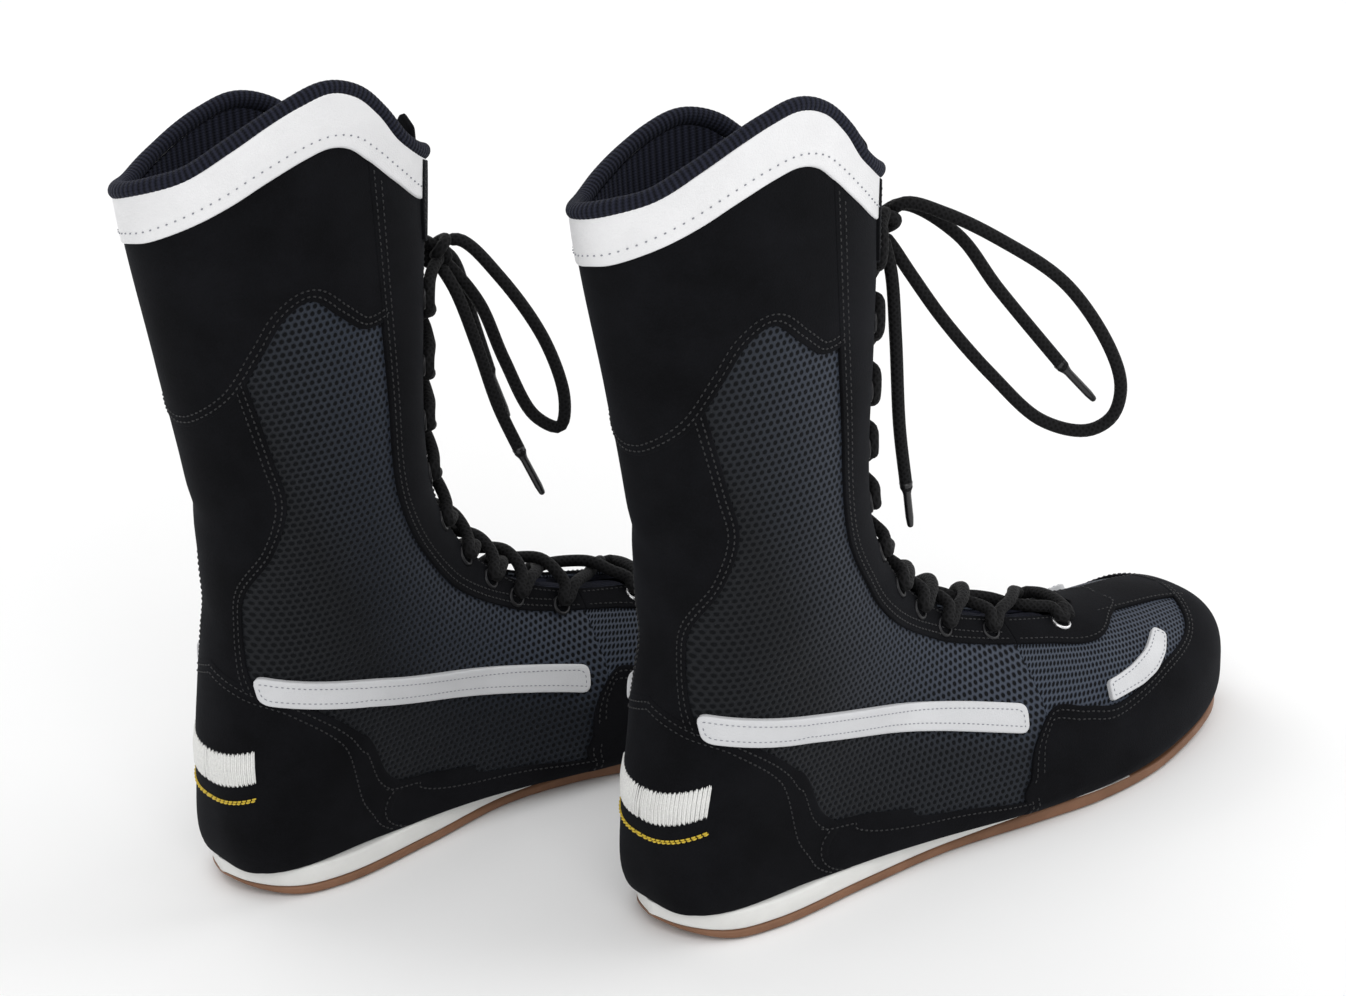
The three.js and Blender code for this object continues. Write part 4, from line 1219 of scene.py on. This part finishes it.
def rim_path():
    """The collar roll's middle line: it sits on the rim and leaves the lacing slot open."""
    rim = spline([(-40, 278)] + RIM[::-1] + [(150, 262)], 1.0)
    rim = rim[np.argsort(rim[:, 0])]
    opening = front_angle(0.5, SLOT + 1)
    angles = np.linspace(opening, 2 * math.pi - opening, 240)
    u = np.full(240, 0.5)
    path = bare_point(u, angles) + bare_normal(u, angles) * -2.05
    path[:, 2] = np.interp(path[:, 0], rim[:, 0], rim[:, 1])
    run = unit(np.gradient(path, axis=0))
    return path + unit(np.array([0, 0, 1.0]) - run * run[:, 2:3]) * 4.2


class BOOTS_OT_collar(bpy.types.Operator):
    """Makes the padded collar roll and the pull tab"""
    bl_idname = "boots.collar"
    bl_label = "Collar"

    def execute(self, context):
        thick = sizes().collar / MM
        path = even(rim_path(), 0.7)
        run = run_along(path)
        swell = 1 + 0.025 * np.sin(run / 9.0) + 0.018 * np.sin(run / 4.3 + 1)
        taper = np.clip(np.minimum(run, run[-1] - run) / 10, 0, 1)
        radius = thick / 2 * (0.97 * swell) * (0.72 + 0.28 * np.sin(taper * math.pi / 2))
        rib = 1 - 0.03 * (0.5 + 0.5 * np.cos(run * 2 * math.pi / 2.1))
        for piece in sew("padded_collar", tube(path, radius * rib, 28), finish("knit"), "shaft", ["collar_roll"],
                         smooth=60):
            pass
        half, height, foot = 6.3, 34.0, 248.0
        outline = rounded([(-half, 0), (half, 0), (half, height - 6), (0, height), (-half, height - 6)], 1.5, 1.0)[:-1]
        x = float(section(1.2)[0]) - 3.8
        face = np.stack([np.full(len(outline), x), outline[:, 0], outline[:, 1] + foot], -1)
        tab = new_object("pull_tab", face, [tuple(range(len(face)))])
        apply_modifier(tab, "SOLIDIFY", thickness=2.6 * MM, offset=-1.0)
        low = min(v.co.x for v in tab.data.vertices)
        for v in tab.data.vertices:
            v.co.x += x * MM - low
        apply_modifier(tab, "BEVEL", width=0.7 * MM, segments=3, limit_method="ANGLE", angle_limit=math.radians(50))
        tidy_mesh(tab)
        both_boots(tab, finish("suede"), "shaft", ["tongue_tab"])
        strands = []
        inner = half - 1.6
        inner = rounded([(-inner, 1.6), (inner, 1.6), (inner, height - 6.6), (0, height - 2.2), (-inner, height - 6.6)],
                        1.0, 0.5)
        run = run_along(inner)
        for centre in np.arange(1.5, run[-1], 3.0):
            stops = centre + np.array([-1, -0.7, 0, 0.7, 1.0])
            yz = np.stack([np.interp(stops, run, inner[:, k]) for k in (0, 1)], -1)
            depth = x + 2.6 + 0.33 * np.array([-0.9, 0.1, 0.45, 0.1, -0.9])
            strands.append((np.stack([depth, yz[:, 0], yz[:, 1] + foot], -1), np.tile([1.0, 0, 0], (5, 1)), 0.33))
        sew("pull_tab_stitches", threads(strands), finish("dark"), "shaft", smooth=60)
        return {"FINISHED"}


def quilt(u, angle, gap):
    """The tongue's padding: soft channels across it."""
    return 0.55 * np.abs(np.sin(run_of(u) * math.pi / 21)) ** 0.6 * np.clip(gap / 4, 0, 1) - 0.35


class BOOTS_OT_inside(bpy.types.Operator):
    """Makes the padded tongue, the ribbed lining and the insole"""
    bl_idname = "boots.inside"
    bl_label = "Tongue and lining"

    def execute(self, context):
        for name, z0, z1, motion, nodes in (("upper", 257.5, SPLIT_TOP, "ankle", ["tongue"]),
                                            ("lower", SPLIT_TOP, 67.5, "ball", [])):
            pieces = panel(across(23.5, z0, z1), -4.6, -7.2, 1.2, (2,) if name == "upper" else (0,), None, quilt)
            for piece in sew("padded_tongue_" + name, pieces, finish("knit"), motion, nodes):
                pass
        upper = wrap_back(262.5, [(x, z + 1) for x, z in RIM[1:]], 279)
        slots = [slot_line(262.5, SPLIT_TOP, s, behind=True) for s in (-1, 1)]
        splits = [split_line(s, behind=True) for s in (-1, 1)]
        edges = [upper, slots[1], splits[1], under_sole(SPLIT)[::-1], splits[0][::-1], slots[0][::-1]]
        cut_and_sew("lining_leg", edges, *LINING, "knit", "ankle", ["lining"], "collar_knit", rim=0.5, step=3.2)
        nose = nose_edges(SPLIT)
        slots = [slot_line(SPLIT_TOP, SLOT_END, s) for s in (-1, 1)]
        splits = [split_line(s) for s in (-1, 1)]
        throat = throat_line(slots)
        edges = [throat, slots[1][::-1], splits[1]] + [edge[::-1] for edge in nose[::-1]] + [splits[0][::-1], slots[0]]
        cut_and_sew("lining_toe", edges, *LINING, "knit", "ball", (), "collar_knit", rim=0.5, step=3.2, free=(4, 5, 6),
                    merge=0.00006)
        xs = np.concatenate([np.linspace(12, 30, 12), np.linspace(33, 262, 80), np.linspace(264, 276, 9)])
        board = slab(xs, lambda x: sole_top(x) + 0.6, lambda x: sole_top(x) + 2.9, 9.5, 1.0)
        sew("insole_board", board, finish("knit"), "ball", ["insole"])
        return {"FINISHED"}


def plan_edge(points, x):
    curve = spline(points, 0.5)
    order = np.argsort(curve[:, 0])
    return np.interp(x, curve[order, 0], curve[order, 1])


def slab(xs, bottom, top, inset, corner, groove=None, across=26):
    """A slab with rounded edges inside the sole's plan outline, between two heights that depend on x."""
    low, high = plan_edge(SOLE_LATERAL, xs), plan_edge(SOLE_MEDIAL, xs)
    middle = (low + high) / 2
    half = np.maximum((high - low) / 2 - inset, 0.4)
    rows = []
    turns = np.linspace(0, math.pi / 2, 5)
    for x, m, h in zip(xs, middle, half):
        z0, z1 = float(bottom(x)), float(top(x))
        r = min(corner, (z1 - z0) * 0.45, h * 0.45)
        top_side = [(h - r + r * math.cos(t), z1 - r + r * math.sin(t)) for t in turns]
        low_side = [(h - r + r * math.cos(t), z0 + r - r * math.sin(t)) for t in turns]
        right = low_side[::-1] + top_side
        left = [(-y, z) for y, z in top_side[::-1]] + [(-y, z) for y, z in low_side]
        over = [(y, z1) for y in np.linspace(h - r, -(h - r), across)[1:-1]]
        beneath = [(y, z0) for y in np.linspace(-(h - r), h - r, across)[1:-1]]
        ring = right + over + left + beneath
        rows.append([(x, m + y, z) for y, z in ring])
    rows = np.array(rows)
    if groove is not None:
        under = slice(len(rows[0]) - (across - 2), len(rows[0]))
        margin = half[:, None] - np.abs(rows[:, under, 1] - middle[:, None])
        rows[:, under, 2] += groove(rows[:, under, 0], rows[:, under, 1], margin)
    co, faces = net(rows, wrap=True)
    m, n = rows.shape[:2]
    faces += [tuple(range(n)), tuple((m - 1) * n + k for k in range(n))[::-1]]
    return co, faces, co[:, :2]


def tread(x, y, margin):
    """Shallow herringbone grooves under the ball and the heel."""
    wave = np.abs(((x + 0.7 * np.abs(y)) / 7.0) % 1 - 0.5)
    cut = smoothstep(0.16 - wave, 0, 0.06) * smoothstep(margin, 3.5, 5.0)
    zone = smoothstep(x, 14, 18) * (1 - smoothstep(x, 88, 92)) + smoothstep(x, 128, 132) * (1 - smoothstep(x, 274, 278))
    return 1.1 * cut * zone


class BOOTS_OT_soles(bpy.types.Operator):
    """Makes the outsole with its tread and the foam wedge"""
    bl_idname = "boots.soles"
    bl_label = "Soles"

    def execute(self, context):
        def stations(x0, x1, step):
            near = x0 + 12 * (1 - np.cos(np.linspace(0, math.pi / 2, 16)))
            far = x1 - 12 * (1 - np.cos(np.linspace(0, math.pi / 2, 16)))[::-1]
            return np.concatenate([near[:-1], np.arange(near[-1], far[0], step), far[1:]])

        gum_top = lambda x: outsole_top(x) + (sole_top(x) - outsole_top(x)) * smoothstep(x, 120, 207) - hem_drop(x)
        gum = slab(stations(3.6, 283.8, 1.2), lambda x: heel_lift(x) + spring(x), gum_top, 0.0, 1.1, tread, 60)
        sew("gum_outsole", gum, finish("gum"), "ball", ["outsole_heel", "outsole_toe"])
        foam = slab(stations(3.6, 205, 2.5), lambda x: gum_top(x) + 0.05, lambda x: sole_top(x) + 0.1, 0.25, 1.3, None, 30)
        sew("foam_midsole", foam, finish("foam"), "ball", ["midsole"])
        return {"FINISHED"}


ROWS = [1.5, 1.95, 2.45, 2.95, 3.6, 4.4, 5.2, 6, 6.9, 8.1, 9.6]
SPREAD = 14.0


def over_slot(u, y, lift):
    angle = front_angle(u, y if y else 1e-4)
    k = softness(u, angle) if abs(y) > SLOT else 0.0
    return bare_point(u, angle) + bare_normal(u, angle) * (lift + k)


def strand(rows, first, side):
    """One of the two crossing lengths of lace, from the toe up.

    Side is where it starts, and first which one lies on top."""
    path = []
    for i, u in enumerate(rows):
        reach = side * (1 if i % 2 == 0 else -1)
        last = i == len(rows) - 1
        tilt = 0.13
        for along, short, lift in ((0.9, 5, 3.3), (0.35, 0.8, 2.3), (-0.35, 0.8, 2.3), (-0.9, 5, 3.3)):
            path.append(over_slot(u + tilt * along, reach * (SPREAD - short), lift))
        if not last:
            middle = (u + rows[i + 1]) / 2
            high = 5.0 if (i % 2 == 0) == first else 0.4
            gap = abs(u - rows[i + 1])
            path += [over_slot(middle + gap * 0.2, reach * 5.0, (high + 3.4) / 2), over_slot(middle, 0, high),
                     over_slot(middle - gap * 0.2, -reach * 5.0, (high + 3.4) / 2)]
    return np.array(path)


def lace_run(name, path, motion, side, nodes=()):
    lace = new_object(side + name, *tube(path, sizes().lace / MM / 2, 14))
    onto_boot(lace, side)
    tidy_mesh(lace, smooth=60)
    wear(lace, finish("lace"), motion, side, nodes)


class BOOTS_OT_lacing(bpy.types.Operator):
    """Threads the lace through its eyelets and ties the knot"""
    bl_idname = "boots.lacing"
    bl_label = "Lacing"

    def execute(self, context):
        for side in SIDES:
            rows = (ROWS if side == "right" else ROWS[1:])[::-1]
            knot = np.array(KNOTS[side], float) * (1, 1 if side == "right" else -1, 1)
            for half, start in ((True, 1), (False, -1)):
                path = strand(rows, half, start)
                end = path[-1]
                lift = np.array([[end[0] + 4, end[1] * 0.7, end[2] + 3],
                                 [knot[0] - 1, end[1] * 0.35, (end[2] + knot[2]) / 2 + 1],
                                 knot + (-1, np.sign(end[1]) * 2.5, -1)])
                path = spline(np.vstack([path, lift]), 1.6)
                cut = int(np.argmax(path[:, 0] < SPLIT - 4))
                label = "a" if half else "b"
                for part, run, motion in (("toe", path[:cut + 1], "ball"), ("leg", path[cut:], "ankle")):
                    nodes = ["lace"] if part == "leg" and half else ()
                    lace_run("_lacing_" + part + "_" + label, run, motion, side, nodes)
            bar = np.array([over_slot(rows[0] + 0.16, y, 3.0 if abs(y) < SPREAD - 3 else 2.2)
                            for y in np.linspace(1 - SPREAD, SPREAD - 1, 13)])
            lace_run("_lacing_bar", spline(bar, 1.6), "ball", side)
            t = np.linspace(0, 2 * math.pi, 140)
            turns = np.stack([-np.sin(3 * t) * 2.6, (np.sin(t) + 2 * np.sin(2 * t)) * 2.45,
                              (np.cos(t) - 2 * np.cos(2 * t)) * 1.85], -1)
            lace_run("_knot", turns + knot, "shaft", side)
            for i, u in enumerate(rows):
                for y in (-SPREAD, SPREAD):
                    angle = front_angle(u, y)
                    centre = over_slot(u, y, 0.35)
                    normal = Vector(bare_normal(u, angle))
                    deselect()
                    bpy.ops.mesh.primitive_torus_add(major_segments=24, minor_segments=8, major_radius=3.3 * MM,
                                                     minor_radius=0.75 * MM)
                    ring = context.object
                    ring.name = "%s_eyelet_%d_%s" % (side, i + 1, "lateral" if y < 0 else "medial")
                    facing = normal.to_track_quat("Z", "Y").to_matrix().to_4x4()
                    ring.data.transform(Matrix.Translation(Vector(centre * MM)) @ facing)
                    onto_boot(ring, side)
                    bpy.ops.object.shade_smooth()
                    wear(ring, finish("bright" if i == 0 else "eyelet"), "ball" if i < 2 else "ankle", side)
        return {"FINISHED"}


class BOOTS_OT_heel_stitching(bpy.types.Operator):
    """Sews the white band and the yellow line on the heel"""
    bl_idname = "boots.heel_stitching"
    bl_label = "Heel stitching"

    def execute(self, context):
        white, yellow = [], []
        angles = np.linspace(math.pi - 0.62, math.pi + 0.78, 92)
        for k, angle in enumerate(angles):
            slant = 0.012 * math.sin(k * 2.1)
            z = np.array([46.0, 47.5, 53, 58.5, 60.0]) + 0.35 * math.sin(k * 1.7)
            u = np.array([back_u(v) for v in z])
            a = angle + np.array([-0.01, -0.008, 0, 0.008, 0.01]) + slant * 0.3
            normal = bare_normal(u, a)
            p = surface(u, a, np.full(5, 0.12)) + normal * np.array([-0.3, 0.25, 0.55, 0.25, -0.3])[:, None]
            white.append((p, normal, 0.36))
        for k, angle in enumerate(np.linspace(math.pi - 0.6, math.pi + 0.76, 24)):
            a = angle + np.array([-0.028, -0.02, 0, 0.02, 0.028])
            u = np.full(5, back_u(40.5))
            normal = bare_normal(u, a)
            for row in (0, 1):
                p = surface(u + 0.022 * row, a + 0.014 * row, np.full(5, 0.12))
                p = p + normal * np.array([-0.3, 0.1, 0.35, 0.1, -0.3])[:, None]
                yellow.append((p, normal, 0.42))
        sew("heel_white_band", threads(white), finish("white"), "foot", smooth=60)
        sew("heel_yellow_line", threads(yellow), finish("yellow"), "foot", smooth=60)
        return {"FINISHED"}


class BOOTS_PT_panel(bpy.types.Panel):
    bl_idname = "BOOTS_PT_panel"
    bl_label = "Boxing boots"
    bl_space_type = "VIEW_3D"
    bl_region_type = "UI"
    bl_category = "Boots"

    def draw(self, context):
        for group in (context.scene.boot_sizes, context.scene.boot_colours):
            for name in group.bl_rna.properties.keys():
                if name not in ("rna_type", "name"):
                    self.layout.prop(group, name)
        for step in STEPS:
            self.layout.operator(step.bl_idname)


STEPS = (BOOTS_OT_stage, BOOTS_OT_free_laces, BOOTS_OT_mesh_upper, BOOTS_OT_suede, BOOTS_OT_leather, BOOTS_OT_collar,
         BOOTS_OT_inside, BOOTS_OT_soles, BOOTS_OT_lacing, BOOTS_OT_heel_stitching)
CLASSES = (BootSizes, BootColours) + STEPS + (BOOTS_PT_panel,)


def register():
    for cls in CLASSES:
        bpy.utils.register_class(cls)
    bpy.types.Scene.boot_sizes = PointerProperty(type=BootSizes)
    bpy.types.Scene.boot_colours = PointerProperty(type=BootColours)


def unregister():
    del bpy.types.Scene.boot_colours
    del bpy.types.Scene.boot_sizes
    for cls in reversed(CLASSES):
        bpy.utils.unregister_class(cls)


def main():
    register()
    for step in STEPS:
        getattr(bpy.ops.boots, step.bl_idname.split(".")[1])()


if __name__ == "__main__":
    main()
